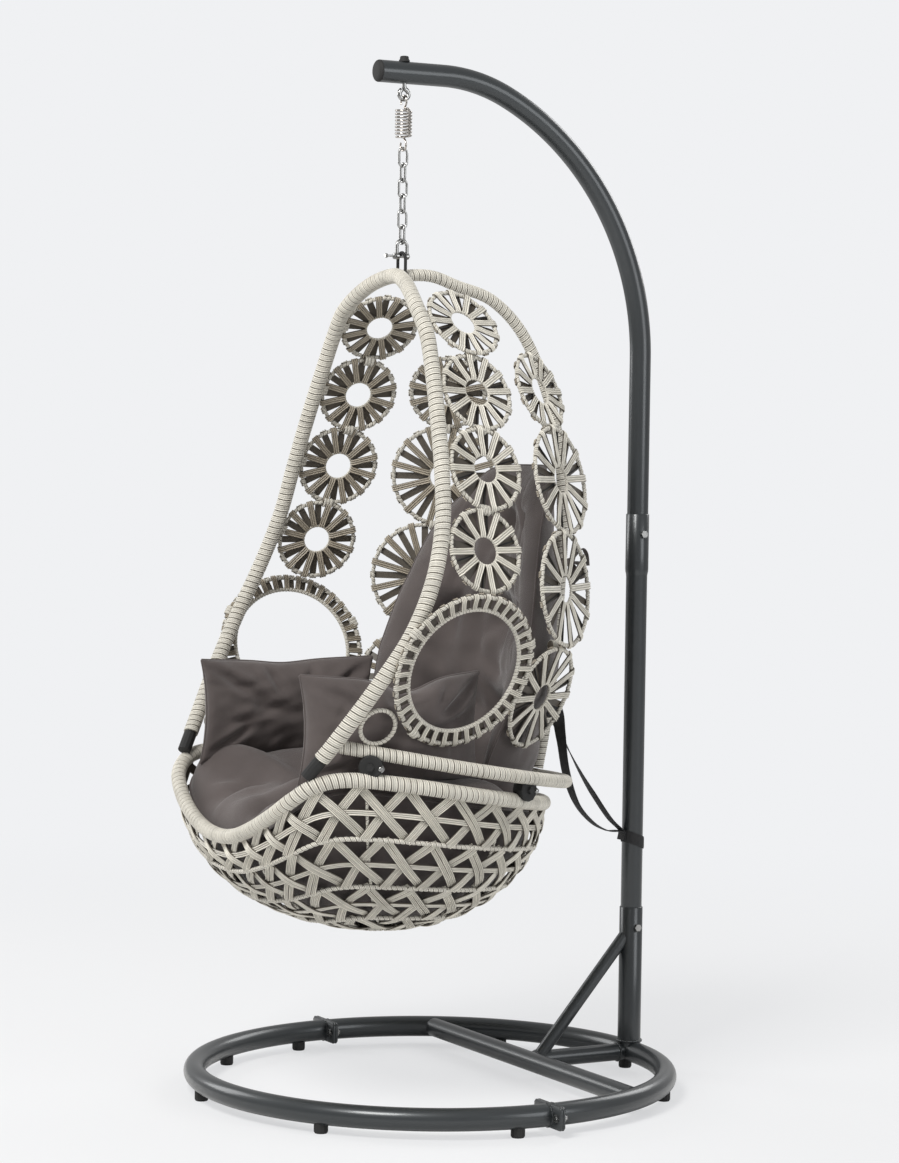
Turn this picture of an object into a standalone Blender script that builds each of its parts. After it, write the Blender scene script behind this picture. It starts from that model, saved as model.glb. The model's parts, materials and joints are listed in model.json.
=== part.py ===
"""Hanging egg chair on a one-post stand.

A bolted ring base carries a socketed post that bends over into an arm.  Under
the arm hang an eye bolt, a coil spring, six chain links and a bow shackle, and
from them an open egg of wrapped tube: a shell of spoked wheels over a latticed
bowl, with a seat cushion, a tufted back cushion and two arm pillows.

Units are metres, +Z is up, and the opening of the chair faces -Y.
The chair's own outlines are given from its hanging point: x across, y back
from the hook's plumb line, z up from the top of the shell.
"""
import math
from functools import lru_cache

import bpy
import numpy as np
from mathutils import Vector
from mathutils.bvhtree import BVHTree

# ---------------------------------------------------------------- clearances
SEAT = 0.0003            # gap between two pieces that touch or are welded
SLIP = 0.0003            # radial play of one tube inside another
HOLE_PLAY = 0.0005       # radial play of a bolt in its hole

# ---------------------------------------------------------------- base ring
RING_OD = 0.950
RING_TUBE = 0.042
TUBE_WALL = 0.0016
FOOT_HEIGHT = 0.015      # rubber foot, floor to the underside of the ring
FOOT_RADIUS = 0.013
FOOT_ANGLES = (-8.0, -54.0, -100.0, -145.0, -172.0, 133.0, 92.0, 50.0)
FLANGE_WIDTH = 0.096
FLANGE_HEIGHT = 0.038
FLANGE_PLATE = 0.005
FLANGE_CHAMFER = 0.009
CROSS_TUBE = 0.038
CROSS_Y = 0.218          # the cross bar's chord, back from the ring's centre
SPINE_BAR_TUBE = 0.034

# ---------------------------------------------------------------- post
POST_TUBE = 0.042
SOCKET_WALL = 0.0017
SOCKET_LENGTH = 0.116
LOWER_SOCKET_TOP = 0.327
UPPER_SOCKET_TOP = 1.111
LOWER_INSERT = 0.120     # how far the mid pole goes down the lower socket
SOCKET_BOLT_DROP = 0.040
STRAIGHT_TOP = 1.420     # where the bend of the arm begins
WIDE_BEND = 0.545        # radius of the long bend
WIDE_BEND_ANGLE = 65.0
TIGHT_BEND = 0.330       # radius of the bend next to the tip
ARM_OVERHANG = 0.053     # hook to the open end of the arm
HOOK_REACH = 0.538       # post axis to hook axis
BRACE_TUBE = 0.025
BRACE_TOP = 0.285

# ---------------------------------------------------------------- fasteners
BOLT_RADIUS = 0.004
HEX_ACROSS = 0.013
HEX_HEIGHT = 0.0055

# ---------------------------------------------------------------- suspension
EYE_WIRE = 0.009
EYE_LOOP = 0.0095        # mean radius of the eye
EYE_DROP = 0.0195        # underside of the arm to the eye's centre
SPRING_WIRE = 0.004
SPRING_COIL = 0.0145     # mean radius
SPRING_TURNS = 9
SPRING_PITCH = 0.0062
SPRING_HOOK = 0.0110     # mean radius of both hooks
LINK_WIRE = 0.005
LINK_SPAN = 0.0345       # wire centre to wire centre, end to end
LINK_WIDTH = 0.0165      # wire centre to wire centre, side to side
LINK_COUNT = 6
SHACKLE_WIRE = 0.007
SHACKLE_GAP = 0.021      # inside the bow, wire centre to wire centre
SHACKLE_HEIGHT = 0.030
PIN_RADIUS = 0.0035
LOOP_WIRE = 0.006
LOOP_WIDTH = 0.031
LOOP_DROP = 0.038        # pin axis to the axis of the chair's spine

# ---------------------------------------------------------------- egg frames
RIM_TUBE = 0.028
SPINE_TUBE = 0.022
SILL_TUBE = 0.024
BOWL_TUBE = 0.027
SPLIT_GAP = 0.032        # rim end to bowl corner, filled by the corner plug

# Right half of the shell's rim, apex to corner (x, y, z).
RIM_POINTS = (
    (0.000, 0.000, 0.000), (0.075, -0.014, -0.017), (0.145, -0.029, -0.060),
    (0.189, -0.030, -0.110), (0.217, -0.034, -0.160), (0.264, -0.045, -0.260),
    (0.305, -0.056, -0.360), (0.337, -0.070, -0.460), (0.362, -0.100, -0.560),
    (0.368, -0.147, -0.660), (0.340, -0.206, -0.760), (0.299, -0.264, -0.856),
    (0.285, -0.282, -0.884),
)
# Back of the shell along its middle, apex to sill (y, z).
BACK_POINTS = (
    (0.060, 0.003), (0.120, -0.014), (0.200, -0.040), (0.270, -0.105),
    (0.325, -0.215), (0.356, -0.330), (0.364, -0.450), (0.362, -0.560),
    (0.352, -0.700), (0.336, -0.840), (0.316, -0.948),
)
# Sill: the shell's bottom tube, corner to middle of the back (x, y, z).
SILL_POINTS = (
    (0.285, -0.262, -0.862), (0.318, -0.170, -0.879), (0.343, -0.040, -0.903),
    (0.318, 0.120, -0.930), (0.215, 0.250, -0.951), (0.090, 0.307, -0.960),
    (0.000, 0.316, -0.962),
)
# Bowl rim: middle of the back, round the side and down to the lip (x, y, z).
BOWL_POINTS = (
    (0.000, 0.270, -1.001), (0.110, 0.256, -0.998), (0.215, 0.200, -0.990),
    (0.305, 0.095, -0.972), (0.343, -0.030, -0.951), (0.330, -0.150, -0.931),
    (0.302, -0.250, -0.921), (0.280, -0.306, -0.931), (0.252, -0.338, -0.957),
    (0.202, -0.354, -0.990), (0.136, -0.363, -1.021), (0.068, -0.366, -1.042),
    (0.000, -0.366, -1.049),
)
BOWL_BOTTOM = (0.0, -0.016, -1.238)

# ---------------------------------------------------------------- wickerwork
WICKER_THICK = 0.010
SPOKES = 9
SIDE_WHEEL_RADII = (0.0765, 0.0780, 0.0810, 0.0810)
SIDE_WHEEL_TOP = -0.092  # height of the first side wheel's centre
BACK_WHEEL_RADII = (0.0770, 0.1040, 0.1100, 0.1020)
BACK_WHEEL_TOP = -0.215
ARM_RING_OUTER = 0.148
ARM_RING_INNER = 0.114
ARM_RING_HEIGHT = -0.725
ARM_RING_RUNGS = 14
SMALL_RING = 0.0335      # mean radius of the little ring in the front corner
SMALL_RING_WIRE = 0.004
SMALL_RING_HEIGHT = -0.822
RING_BAND = 0.0085
SPOKE_WIDTH = 0.0125
RUNG_WIDTH = 0.020
HUB_HOLE = 0.019
HUB_BAND = 0.006
TIE_RADIUS = 0.0075      # binding between two wheels
TIE_BITE = 0.006         # how far it reaches into each wheel's rim
LATTICE_AROUND = 14
LATTICE_ROWS = 4
LATTICE_BAND = 0.020
LATTICE_THICK = 0.008
LATTICE_HUB = 0.09       # rise of the disc that the ribs meet in

# ---------------------------------------------------------------- soft parts
SEAT_CROWN = 0.070
SEAT_CLEAR = 0.022       # seat cushion's side to the bowl's surface
BACK_PAD_THICK = 0.080
BACK_PAD_TOP = -0.290
BACK_PAD_BOTTOM = -0.900
BACK_PAD_SPREAD = 0.56   # share of each side's section that the pad covers
BACK_PAD_TUFT = 0.018
PILLOW_LENGTH = 0.370
PILLOW_HEIGHT = 0.200
PILLOW_THICK = 0.095
PILLOW_Y = -0.105
PILLOW_DRAW = 0.07       # how far the sides are drawn in between the corners
PILLOW_BEND = 0.045      # how far both ends lean in, with the curve of the sill
PILLOW_START = 0.120     # across, where the pillow is before it is moved out
PILLOW_LEVEL = -0.700    # its height before it is let down
PAD_EDGE = 0.012         # thickness left at a cushion's seam
STRAP_WIDTH = 0.024
STRAP_THICK = 0.0022
STRAP_PLAY = 0.0036      # strap to the spine it goes round
CUFF_HEIGHT = 0.470
STRAP_DROP = 0.835       # top of the shell to the place where the strap goes round
STRAP_TAIL = 0.012       # how far each strand runs straight back from the spine
STRAP_SAGS = (0.045, 0.005)

# ---------------------------------------------------------------- derived
RING_RADIUS = (RING_OD - RING_TUBE) / 2
RING_Z = FOOT_HEIGHT + RING_TUBE / 2
SOCKET_BORE = POST_TUBE / 2 + SLIP
SOCKET_RADIUS = SOCKET_BORE + SOCKET_WALL
POST_Y = RING_OD / 2 - SOCKET_RADIUS     # the socket is flush with the ring's outside
HOOK_Y = POST_Y - HOOK_REACH
TIGHT_BEND_ANGLE = 90.0 - WIDE_BEND_ANGLE
ARM_Z = (STRAIGHT_TOP + WIDE_BEND * math.sin(math.radians(WIDE_BEND_ANGLE))
         + TIGHT_BEND * (1 - math.cos(math.radians(TIGHT_BEND_ANGLE))))
EYE_Z = ARM_Z - POST_TUBE / 2 - EYE_DROP


def hung_on(support_z, support_wire, own_wire):
    """Height of the top wire of a piece that hangs on a wire at support_z."""
    return support_z + support_wire / 2 + own_wire / 2 + SEAT


SPRING_TOP = hung_on(EYE_Z - EYE_LOOP, EYE_WIRE, SPRING_WIRE)
SPRING_LENGTH = 4 * SPRING_HOOK + SPRING_TURNS * SPRING_PITCH + SPRING_WIRE
SPRING_BOTTOM = SPRING_TOP - SPRING_LENGTH
LINK_TOP = hung_on(SPRING_BOTTOM, SPRING_WIRE, LINK_WIRE)
LINK_STEP = LINK_SPAN - LINK_WIRE - SEAT
CHAIN_BOTTOM = LINK_TOP - (LINK_COUNT - 1) * LINK_STEP - LINK_SPAN
SHACKLE_TOP = hung_on(CHAIN_BOTTOM, LINK_WIRE, SHACKLE_WIRE)
PIN_Z = SHACKLE_TOP - SHACKLE_HEIGHT
CHAIR_Z = PIN_Z - LOOP_DROP
# The rim passes just in front of the hanging loop, the spine through it.
RIM_Y = -(RIM_TUBE + LOOP_WIRE) / 2 - SEAT
CHAIR = Vector((0.0, HOOK_Y, CHAIR_Z))

# ---------------------------------------------------------------- finishes
FRAME_GREY = ((0.075, 0.083, 0.086), 0.38, 0.55)
ZINC = ((0.62, 0.62, 0.60), 0.28, 1.0)
NICKEL = ((0.72, 0.70, 0.66), 0.25, 1.0)
BLACK_PLASTIC = ((0.012, 0.012, 0.013), 0.45, 0.0)
RUBBER = ((0.015, 0.015, 0.015), 0.75, 0.0)
WICKER = ((0.66, 0.61, 0.53), 0.55, 0.0)
FABRIC = ((0.105, 0.088, 0.083), 0.9, 0.0)
WEBBING = ((0.010, 0.010, 0.011), 0.8, 0.0)


def clear_scene():
    """Start from an empty file."""
    for obj in list(bpy.data.objects):
        bpy.data.objects.remove(obj, do_unlink=True)


def material(name, finish):
    """A plain coat of one colour, for one piece."""
    colour, roughness, metallic = finish
    mat = bpy.data.materials.new(name)
    mat.use_nodes = True
    shader = mat.node_tree.nodes["Principled BSDF"]
    shader.inputs["Base Color"].default_value = (*colour, 1.0)
    shader.inputs["Roughness"].default_value = roughness
    shader.inputs["Metallic"].default_value = metallic
    mat.diffuse_color = (*colour, 1.0)
    return mat


def make(name, geometry, finish, smooth=True, origin=(0, 0, 0)):
    """One named object; its vertices are given in the world, less origin."""
    verts, faces = geometry
    mesh = bpy.data.meshes.new(name)
    base = Vector(origin)
    mesh.from_pydata([Vector(v) - base for v in verts], [], faces)
    mesh.update()
    mesh.polygons.foreach_set("use_smooth", [smooth] * len(mesh.polygons))
    obj = bpy.data.objects.new(name, mesh)
    obj.location = base
    bpy.context.collection.objects.link(obj)
    if finish is None:
        obj.hide_render = True
        obj.display_type = 'WIRE'
    else:
        obj.data.materials.append(material(name, finish))
    return obj


def tool(name, geometry):
    """A hidden body that only cuts or fuses others."""
    return make("tool_" + name, geometry, None, smooth=False)


def combine(obj, operation, *others):
    """Cut others from obj, or fuse them to it."""
    for other in others:
        step = obj.modifiers.new(operation.lower(), 'BOOLEAN')
        step.operation = operation
        step.solver = 'EXACT'
        step.object = other
    return obj


# ---------------------------------------------------------------- geometry
def curve_through(points, steps):
    """Smooth path through the points, with steps pieces between neighbours."""
    pts = np.asarray(points, float)
    ends = np.vstack([2 * pts[0] - pts[1], pts, 2 * pts[-1] - pts[-2]])
    out = []
    for k in range(len(pts) - 1):
        a, b, c, d = ends[k:k + 4]
        for t in np.arange(steps) / steps:
            out.append(0.5 * (2 * b + (c - a) * t + (2 * a - 5 * b + 4 * c - d) * t * t
                              + (3 * b - 3 * c + d - a) * t ** 3))
    return np.array(out + [pts[-1]])


def evenly(path, count, closed=False):
    """The same path in count equal steps."""
    pts = np.vstack([path, path[:1]]) if closed else np.asarray(path)
    along = np.r_[0, np.cumsum(np.linalg.norm(np.diff(pts, axis=0), axis=1))]
    want = np.linspace(0, along[-1], count + 1)
    out = np.stack([np.interp(want, along, pts[:, k]) for k in range(3)], 1)
    return out[:-1] if closed else out


def mirrored(half, first_on_axis=True):
    """Join a right half to its mirror image, left end first."""
    left = np.array(half)[::-1] * (-1, 1, 1)
    return np.vstack([left[:-1] if first_on_axis else left, half])


def frames_along(path, closed=False, start=None):
    """Tangent and two cross directions at each point, carried without twist."""
    pts = np.asarray(path, float)
    if closed:
        tangent = np.roll(pts, -1, 0) - np.roll(pts, 1, 0)
    else:
        tangent = np.gradient(pts, axis=0)
    tangent /= np.linalg.norm(tangent, axis=1)[:, None]
    side = np.array(start if start is not None else (0.0, 0.0, 1.0), float)
    if abs(side @ tangent[0]) > 0.95:
        side = np.array((1.0, 0.0, 0.0))
    sides = []
    for t in tangent:
        side = side - (side @ t) * t
        side /= np.linalg.norm(side)
        sides.append(side)
    sides = np.array(sides)
    other = np.cross(tangent, sides)
    if closed:
        back = sides[-1] - (sides[-1] @ tangent[0]) * tangent[0]
        slip = math.atan2(back @ other[0], back @ sides[0])
        turn = -slip * np.arange(len(pts)) / len(pts)
        c, s = np.cos(turn)[:, None], np.sin(turn)[:, None]
        sides, other = c * sides + s * other, c * other - s * sides
    return tangent, sides, other


def ring_quads(a, b, count):
    """Quads between two rings of vertices that start at a and b."""
    return [(a + k, a + (k + 1) % count, b + (k + 1) % count, b + k) for k in range(count)]


def tube(path, radius, sides=12, bore=None, closed=False, start=None):
    """Round tube or rod along a path; with a bore its ends are open."""
    pts = np.asarray(path, float)
    _, one, two = frames_along(pts, closed, start)
    angle = np.arange(sides) * 2 * math.pi / sides
    verts, faces = [], []

    def skin(r):
        first = len(verts)
        for p, u, v in zip(pts, one, two):
            for a in angle:
                verts.append(p + r * (math.cos(a) * u + math.sin(a) * v))
        return first

    outer = skin(radius)
    spans = len(pts) if closed else len(pts) - 1
    for k in range(spans):
        a, b = outer + k * sides, outer + ((k + 1) % len(pts)) * sides
        faces += ring_quads(a, b, sides)
    last = outer + (len(pts) - 1) * sides
    if closed:
        return verts, faces
    if bore is None:
        faces.append(tuple(outer + k for k in reversed(range(sides))))
        faces.append(tuple(last + k for k in range(sides)))
        return verts, faces
    inner = skin(bore)
    for k in range(spans):
        faces += [tuple(reversed(f))
                  for f in ring_quads(inner + k * sides, inner + (k + 1) * sides, sides)]
    faces += [tuple(reversed(f)) for f in ring_quads(outer, inner, sides)]
    faces += ring_quads(last, inner + (len(pts) - 1) * sides, sides)
    return verts, faces


def rod(a, b, radius, sides=12, bore=None):
    """Straight tube or rod from a to b."""
    return tube((a, b), radius, sides, bore)


def turned(axis_point, axis, profile, sides=12):
    """Solid of revolution: profile rows are (height, radius, hexagonal?)."""
    axis = np.array(axis, float) / np.linalg.norm(axis)
    side = np.cross(axis, (0.0, 0.0, 1.0) if abs(axis[2]) < 0.9 else (1.0, 0.0, 0.0))
    side /= np.linalg.norm(side)
    other = np.cross(axis, side)
    verts, faces = [], []
    for height, radius, hexagonal in profile:
        for k in range(sides):
            r = radius / math.cos(math.pi / 6) if hexagonal and k % (sides // 6) == 0 else radius
            a = 2 * math.pi * k / sides
            verts.append(np.array(axis_point) + axis * height
                         + r * (math.cos(a) * side + math.sin(a) * other))
    for k in range(len(profile) - 1):
        faces += ring_quads(k * sides, (k + 1) * sides, sides)
    faces.append(tuple(reversed(range(sides))))
    faces.append(tuple((len(profile) - 1) * sides + k for k in range(sides)))
    return verts, faces


def revolved(profile, centre, sides=14):
    """Hollow piece turned about Z: the profile is a closed (radius, z) outline."""
    verts, faces = [], []
    for radius, z in profile:
        for k in range(sides):
            a = 2 * math.pi * k / sides
            verts.append((centre[0] + radius * math.cos(a), centre[1] + radius * math.sin(a), z))
    count = len(profile)
    for k in range(count):
        faces += ring_quads(k * sides, (k + 1) % count * sides, sides)
    return verts, faces


def thickened(verts, faces, normals, thickness):
    """Give a pierced sheet two faces and the walls of its edges and windows."""
    verts, normals = np.asarray(verts), np.asarray(normals)
    count = len(verts)
    both = np.vstack([verts + normals * thickness / 2, verts - normals * thickness / 2])
    edges = {(f[k], f[(k + 1) % len(f)]) for f in faces for k in range(len(f))}
    out = [tuple(f) for f in faces]
    out += [tuple(count + v for v in reversed(f)) for f in faces]
    out += [(b, a, count + a, count + b) for a, b in sorted(edges) if (b, a) not in edges]
    return both, out


def outward(geometry):
    """Turn the faces over if the body is inside out."""
    verts, faces = geometry
    v = np.asarray(verts, float)
    volume = 0.0
    for f in faces:
        for k in range(1, len(f) - 1):
            volume += v[f[0]] @ np.cross(v[f[k]], v[f[k + 1]])
    return (verts, faces) if volume > 0 else (verts, [tuple(reversed(f)) for f in faces])


# ---------------------------------------------------------------- stand
def ring_path(start_deg, end_deg, steps):
    """Centre line of a stretch of the base ring."""
    angles = np.radians(np.linspace(start_deg, end_deg, steps + 1))
    return np.stack([RING_RADIUS * np.cos(angles), RING_RADIUS * np.sin(angles),
                     np.full(len(angles), RING_Z)], 1)


def flange_plate(side, facing):
    """Chamfered end plate at X = side * ring radius, on the facing side of Y = 0."""
    w, h, c = FLANGE_WIDTH / 2, FLANGE_HEIGHT / 2, FLANGE_CHAMFER
    outline = [(-w, -h + c), (-w + c, -h), (w - c, -h), (w, -h + c),
               (w, h - c), (w - c, h), (-w + c, h), (-w, h - c)]
    near, far = facing * SEAT / 2, facing * (SEAT / 2 + FLANGE_PLATE)
    verts = [(side * RING_RADIUS + x, y, RING_Z + z) for y in (near, far) for x, z in outline]
    faces = [tuple(range(8)), tuple(range(15, 7, -1))]
    faces += [(k, 8 + k, 8 + (k + 1) % 8, (k + 1) % 8) for k in range(8)]
    return outward((verts, faces))


def flange_bolt_spots():
    """Centres of the four flange bolts on the plane Y = 0."""
    reach = (FLANGE_WIDTH / 2 + RING_TUBE / 2) / 2
    return [(side * RING_RADIUS + ear * reach, 0.0, RING_Z)
            for side in (1, -1) for ear in (1, -1)]


def build_base():
    """Two half rings with flanges, their bolts, the feet, cross bar and spine bar."""
    tube_radius = RING_TUBE / 2
    cut = math.degrees((SEAT / 2 + FLANGE_PLATE / 2) / RING_RADIUS)
    envelope = tool("ring_envelope", tube(ring_path(-180, 180, 32)[:-1], tube_radius + SEAT,
                                          12, closed=True))
    for name, facing in (("base_front_arc", -1), ("base_rear_arc", 1)):
        path = ring_path(facing * cut, facing * (180 - cut), 16)
        arc = make(name, outward(tube(path, tube_radius, 12, bore=tube_radius - TUBE_WALL)),
                   FRAME_GREY)
        for side in (1, -1):
            combine(arc, 'UNION', tool("flange", flange_plate(side, facing)))
        for side in (1, -1):
            middle = (side * RING_RADIUS, facing * 0.03, RING_Z)
            mouth = (side * RING_RADIUS, -facing * 0.01, RING_Z)
            combine(arc, 'DIFFERENCE',
                    tool("flange_bore", rod(mouth, middle, tube_radius - TUBE_WALL - SEAT, 12)))
        for x, _, z in flange_bolt_spots():
            hole = rod((x, -0.02, z), (x, 0.02, z), BOLT_RADIUS + HOLE_PLAY, 8)
            combine(arc, 'DIFFERENCE', tool("flange_hole", hole))
    for k, spot in enumerate(flange_bolt_spots()):
        where = ("right_outer", "right_inner", "left_inner", "left_outer")[k]
        seat = SEAT / 2 + FLANGE_PLATE + SEAT
        make("flange_bolt_" + where, bolt(spot, (0, 1, 0), seat), ZINC, smooth=False)
    for k, angle in enumerate(FOOT_ANGLES):
        a = math.radians(angle)
        spot = (RING_RADIUS * math.cos(a), RING_RADIUS * math.sin(a), 0.0)
        rise = FOOT_HEIGHT + tube_radius * 0.45
        profile = [(0, FOOT_RADIUS * 0.88, False), (0.003, FOOT_RADIUS, False),
                   (rise, FOOT_RADIUS, False)]
        foot = make("foot_%d" % (k + 1), turned(spot, (0, 0, 1), profile), RUBBER)
        combine(foot, 'DIFFERENCE', envelope)

    half = math.sqrt(RING_RADIUS ** 2 - CROSS_Y ** 2)
    ends = [(x, CROSS_Y, RING_Z) for x in (-half, half)]
    cross = make("cross_bar", rod(*ends, CROSS_TUBE / 2, 12, CROSS_TUBE / 2 - TUBE_WALL),
                 FRAME_GREY)
    combine(cross, 'DIFFERENCE', envelope)
    back = (0, RING_RADIUS, RING_Z)
    front = (0, CROSS_Y, RING_Z)
    spine = make("spine_bar", rod(front, back, SPINE_BAR_TUBE / 2, 14,
                                  SPINE_BAR_TUBE / 2 - TUBE_WALL), FRAME_GREY)
    cross_envelope = tool("cross_envelope", rod(*ends, CROSS_TUBE / 2 + SEAT, 12))
    combine(spine, 'DIFFERENCE', envelope, cross_envelope)
    return envelope, cross_envelope


def bolt(centre, axis, grip):
    """Hex bolt with its nut; grip is half the distance between head and nut."""
    across = HEX_ACROSS / 2
    tip = grip + HEX_HEIGHT + 0.004
    profile = [(-grip - HEX_HEIGHT, across, True), (-grip, across, True),
               (-grip, BOLT_RADIUS, False),
               (grip, BOLT_RADIUS, False), (grip, across, True),
               (grip + HEX_HEIGHT, across, True), (grip + HEX_HEIGHT, BOLT_RADIUS, False),
               (tip, BOLT_RADIUS, False)]
    return turned(centre, axis, profile, 6)


def arm_path():
    """Centre line of the upper pole: straight, long bend, tight bend, straight tip."""
    points = [(0, POST_Y, UPPER_SOCKET_TOP - SOCKET_LENGTH + 0.012), (0, POST_Y, STRAIGHT_TOP)]
    centre_y = POST_Y - WIDE_BEND
    for a in np.radians(np.linspace(0, WIDE_BEND_ANGLE, 11))[1:]:
        points.append((0, centre_y + WIDE_BEND * math.cos(a), STRAIGHT_TOP + WIDE_BEND * math.sin(a)))
    _, y, z = points[-1]
    a0 = math.radians(WIDE_BEND_ANGLE)
    centre = (y - TIGHT_BEND * math.cos(a0), z - TIGHT_BEND * math.sin(a0))
    for a in np.radians(np.linspace(WIDE_BEND_ANGLE, 90, 5))[1:]:
        points.append((0, centre[0] + TIGHT_BEND * math.cos(a), centre[1] + TIGHT_BEND * math.sin(a)))
    points.append((0, HOOK_Y, ARM_Z))
    points.append((0, HOOK_Y - ARM_OVERHANG, ARM_Z))
    return points


def build_post(envelope, cross_envelope):
    """Lower socket, brace, mid pole, bent upper pole, their bolts and the end plug."""
    axis = (0, POST_Y)
    bottom = RING_Z + RING_TUBE * 0.28
    lower = make("lower_post", revolved([(SOCKET_BORE, bottom), (SOCKET_RADIUS, bottom),
                                         (SOCKET_RADIUS, LOWER_SOCKET_TOP),
                                         (SOCKET_BORE, LOWER_SOCKET_TOP)], axis), FRAME_GREY)
    spine_envelope = tool("spine_envelope", rod((0, CROSS_Y, RING_Z), (0, RING_RADIUS, RING_Z),
                                                SPINE_BAR_TUBE / 2 + SEAT, 14))
    combine(lower, 'DIFFERENCE', envelope, spine_envelope)

    shoulder = UPPER_SOCKET_TOP - SOCKET_LENGTH
    pole, bore = POST_TUBE / 2, POST_TUBE / 2 - TUBE_WALL
    mid = make("mid_pole", revolved([
        (bore, LOWER_SOCKET_TOP - LOWER_INSERT), (pole, LOWER_SOCKET_TOP - LOWER_INSERT),
        (pole, shoulder - 0.008), (SOCKET_RADIUS, shoulder + 0.004),
        (SOCKET_RADIUS, UPPER_SOCKET_TOP), (SOCKET_BORE, UPPER_SOCKET_TOP),
        (SOCKET_BORE, shoulder + 0.004), (bore, shoulder - 0.008)], axis), FRAME_GREY)

    arm = make("upper_arc_pole", outward(tube(arm_path(), pole, 14, bore=bore, start=(1, 0, 0))),
               FRAME_GREY)
    shank = rod((0, HOOK_Y, ARM_Z - 0.05), (0, HOOK_Y, ARM_Z + 0.05), EYE_WIRE / 2 + HOLE_PLAY)
    combine(arm, 'DIFFERENCE', tool("eye_hole", shank))

    for name, top, pieces in (("lower", LOWER_SOCKET_TOP, (lower, mid)),
                              ("upper", UPPER_SOCKET_TOP, (mid, arm))):
        z = top - SOCKET_BOLT_DROP
        reach = SOCKET_RADIUS + 0.01
        hole = tool(name + "_bolt_hole", rod((-reach, POST_Y, z), (reach, POST_Y, z),
                                             BOLT_RADIUS + HOLE_PLAY, 8))
        for piece in pieces:
            combine(piece, 'DIFFERENCE', hole)
        make(name + "_socket_bolt", bolt((0, POST_Y, z), (-1, 0, 0), SOCKET_RADIUS + SEAT),
             ZINC, smooth=False)

    foot_point = (0, CROSS_Y + SPINE_BAR_TUBE * 0.6, RING_Z)
    head_point = (0, POST_Y, BRACE_TOP)
    brace = make("brace_strut", rod(foot_point, head_point, BRACE_TUBE / 2, 14,
                                    BRACE_TUBE / 2 - TUBE_WALL), FRAME_GREY)
    post_envelope = tool("post_envelope", rod((0, POST_Y, RING_Z), (0, POST_Y, LOWER_SOCKET_TOP),
                                              SOCKET_RADIUS + SEAT, 14))
    combine(brace, 'DIFFERENCE', post_envelope, spine_envelope, cross_envelope)

    tip = HOOK_Y - ARM_OVERHANG
    plug = [(0.0, bore - SLIP, False), (0.018, bore - SLIP, False),
            (0.018 + SEAT, pole, False), (0.020, pole, False),
            (0.0235, pole * 0.86, False), (0.0255, pole * 0.52, False), (0.026, pole * 0.12, False)]
    make("arm_end_plug", turned((0, tip + 0.018, ARM_Z), (0, -1, 0), plug, 14), BLACK_PLASTIC)


# ---------------------------------------------------------------- suspension
def oval(span, width, top_z, plane, steps=4):
    """Closed link path: two half rounds joined by straights, top wire at top_z."""
    r = width / 2
    upper, lower = top_z - r, top_z - span + r
    flat = [(r * math.cos(a), upper + r * math.sin(a)) for a in np.linspace(0, math.pi, steps + 1)]
    flat += [(-r * math.cos(a), lower - r * math.sin(a)) for a in np.linspace(0, math.pi, steps + 1)]
    c, s = math.cos(plane), math.sin(plane)
    return np.array([(h * c, HOOK_Y + h * s, z) for h, z in flat])


def arc(centre_z, radius, start, end, steps, plane):
    """Part of a circle round the hook's plumb line; angle 90 is up."""
    c, s = math.cos(plane), math.sin(plane)
    out = []
    for a in np.radians(np.linspace(start, end, steps + 1)):
        h = radius * math.cos(a)
        out.append((h * c, HOOK_Y + h * s, centre_z + radius * math.sin(a)))
    return out


def spring_path():
    """Open hook, a quarter run out to the coil, the coil, and the same again."""
    plane = 0.0
    top_centre = SPRING_TOP - SPRING_HOOK
    coil_top = SPRING_TOP - 2 * SPRING_HOOK - SPRING_WIRE / 2
    points = arc(top_centre, SPRING_HOOK, 205, -78, 9, plane)
    per_turn = 8
    total = SPRING_TURNS * per_turn
    for k in range(total + 1):
        turns = k / per_turn
        grow = min(1.0, (turns + 0.12) / 0.62, (SPRING_TURNS - turns + 0.12) / 0.62)
        radius = SPRING_COIL * math.sin(grow * math.pi / 2)
        angle = 2 * math.pi * turns
        points.append((radius * math.cos(angle), HOOK_Y + radius * math.sin(angle),
                       coil_top - turns * SPRING_PITCH))
    low_centre = SPRING_BOTTOM + SPRING_HOOK
    points += arc(low_centre, SPRING_HOOK, 78, -205, 9, plane)
    return points


def least_self_gap(path, wire, skip):
    """Smallest free space between two turns of one wire."""
    pts = evenly(np.array(path), 900)
    step = np.linalg.norm(pts[1] - pts[0])
    apart = np.linalg.norm(pts[:, None] - pts[None], axis=2)
    i, j = np.indices(apart.shape)
    return apart[(j - i) * step > skip].min() - wire


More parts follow.
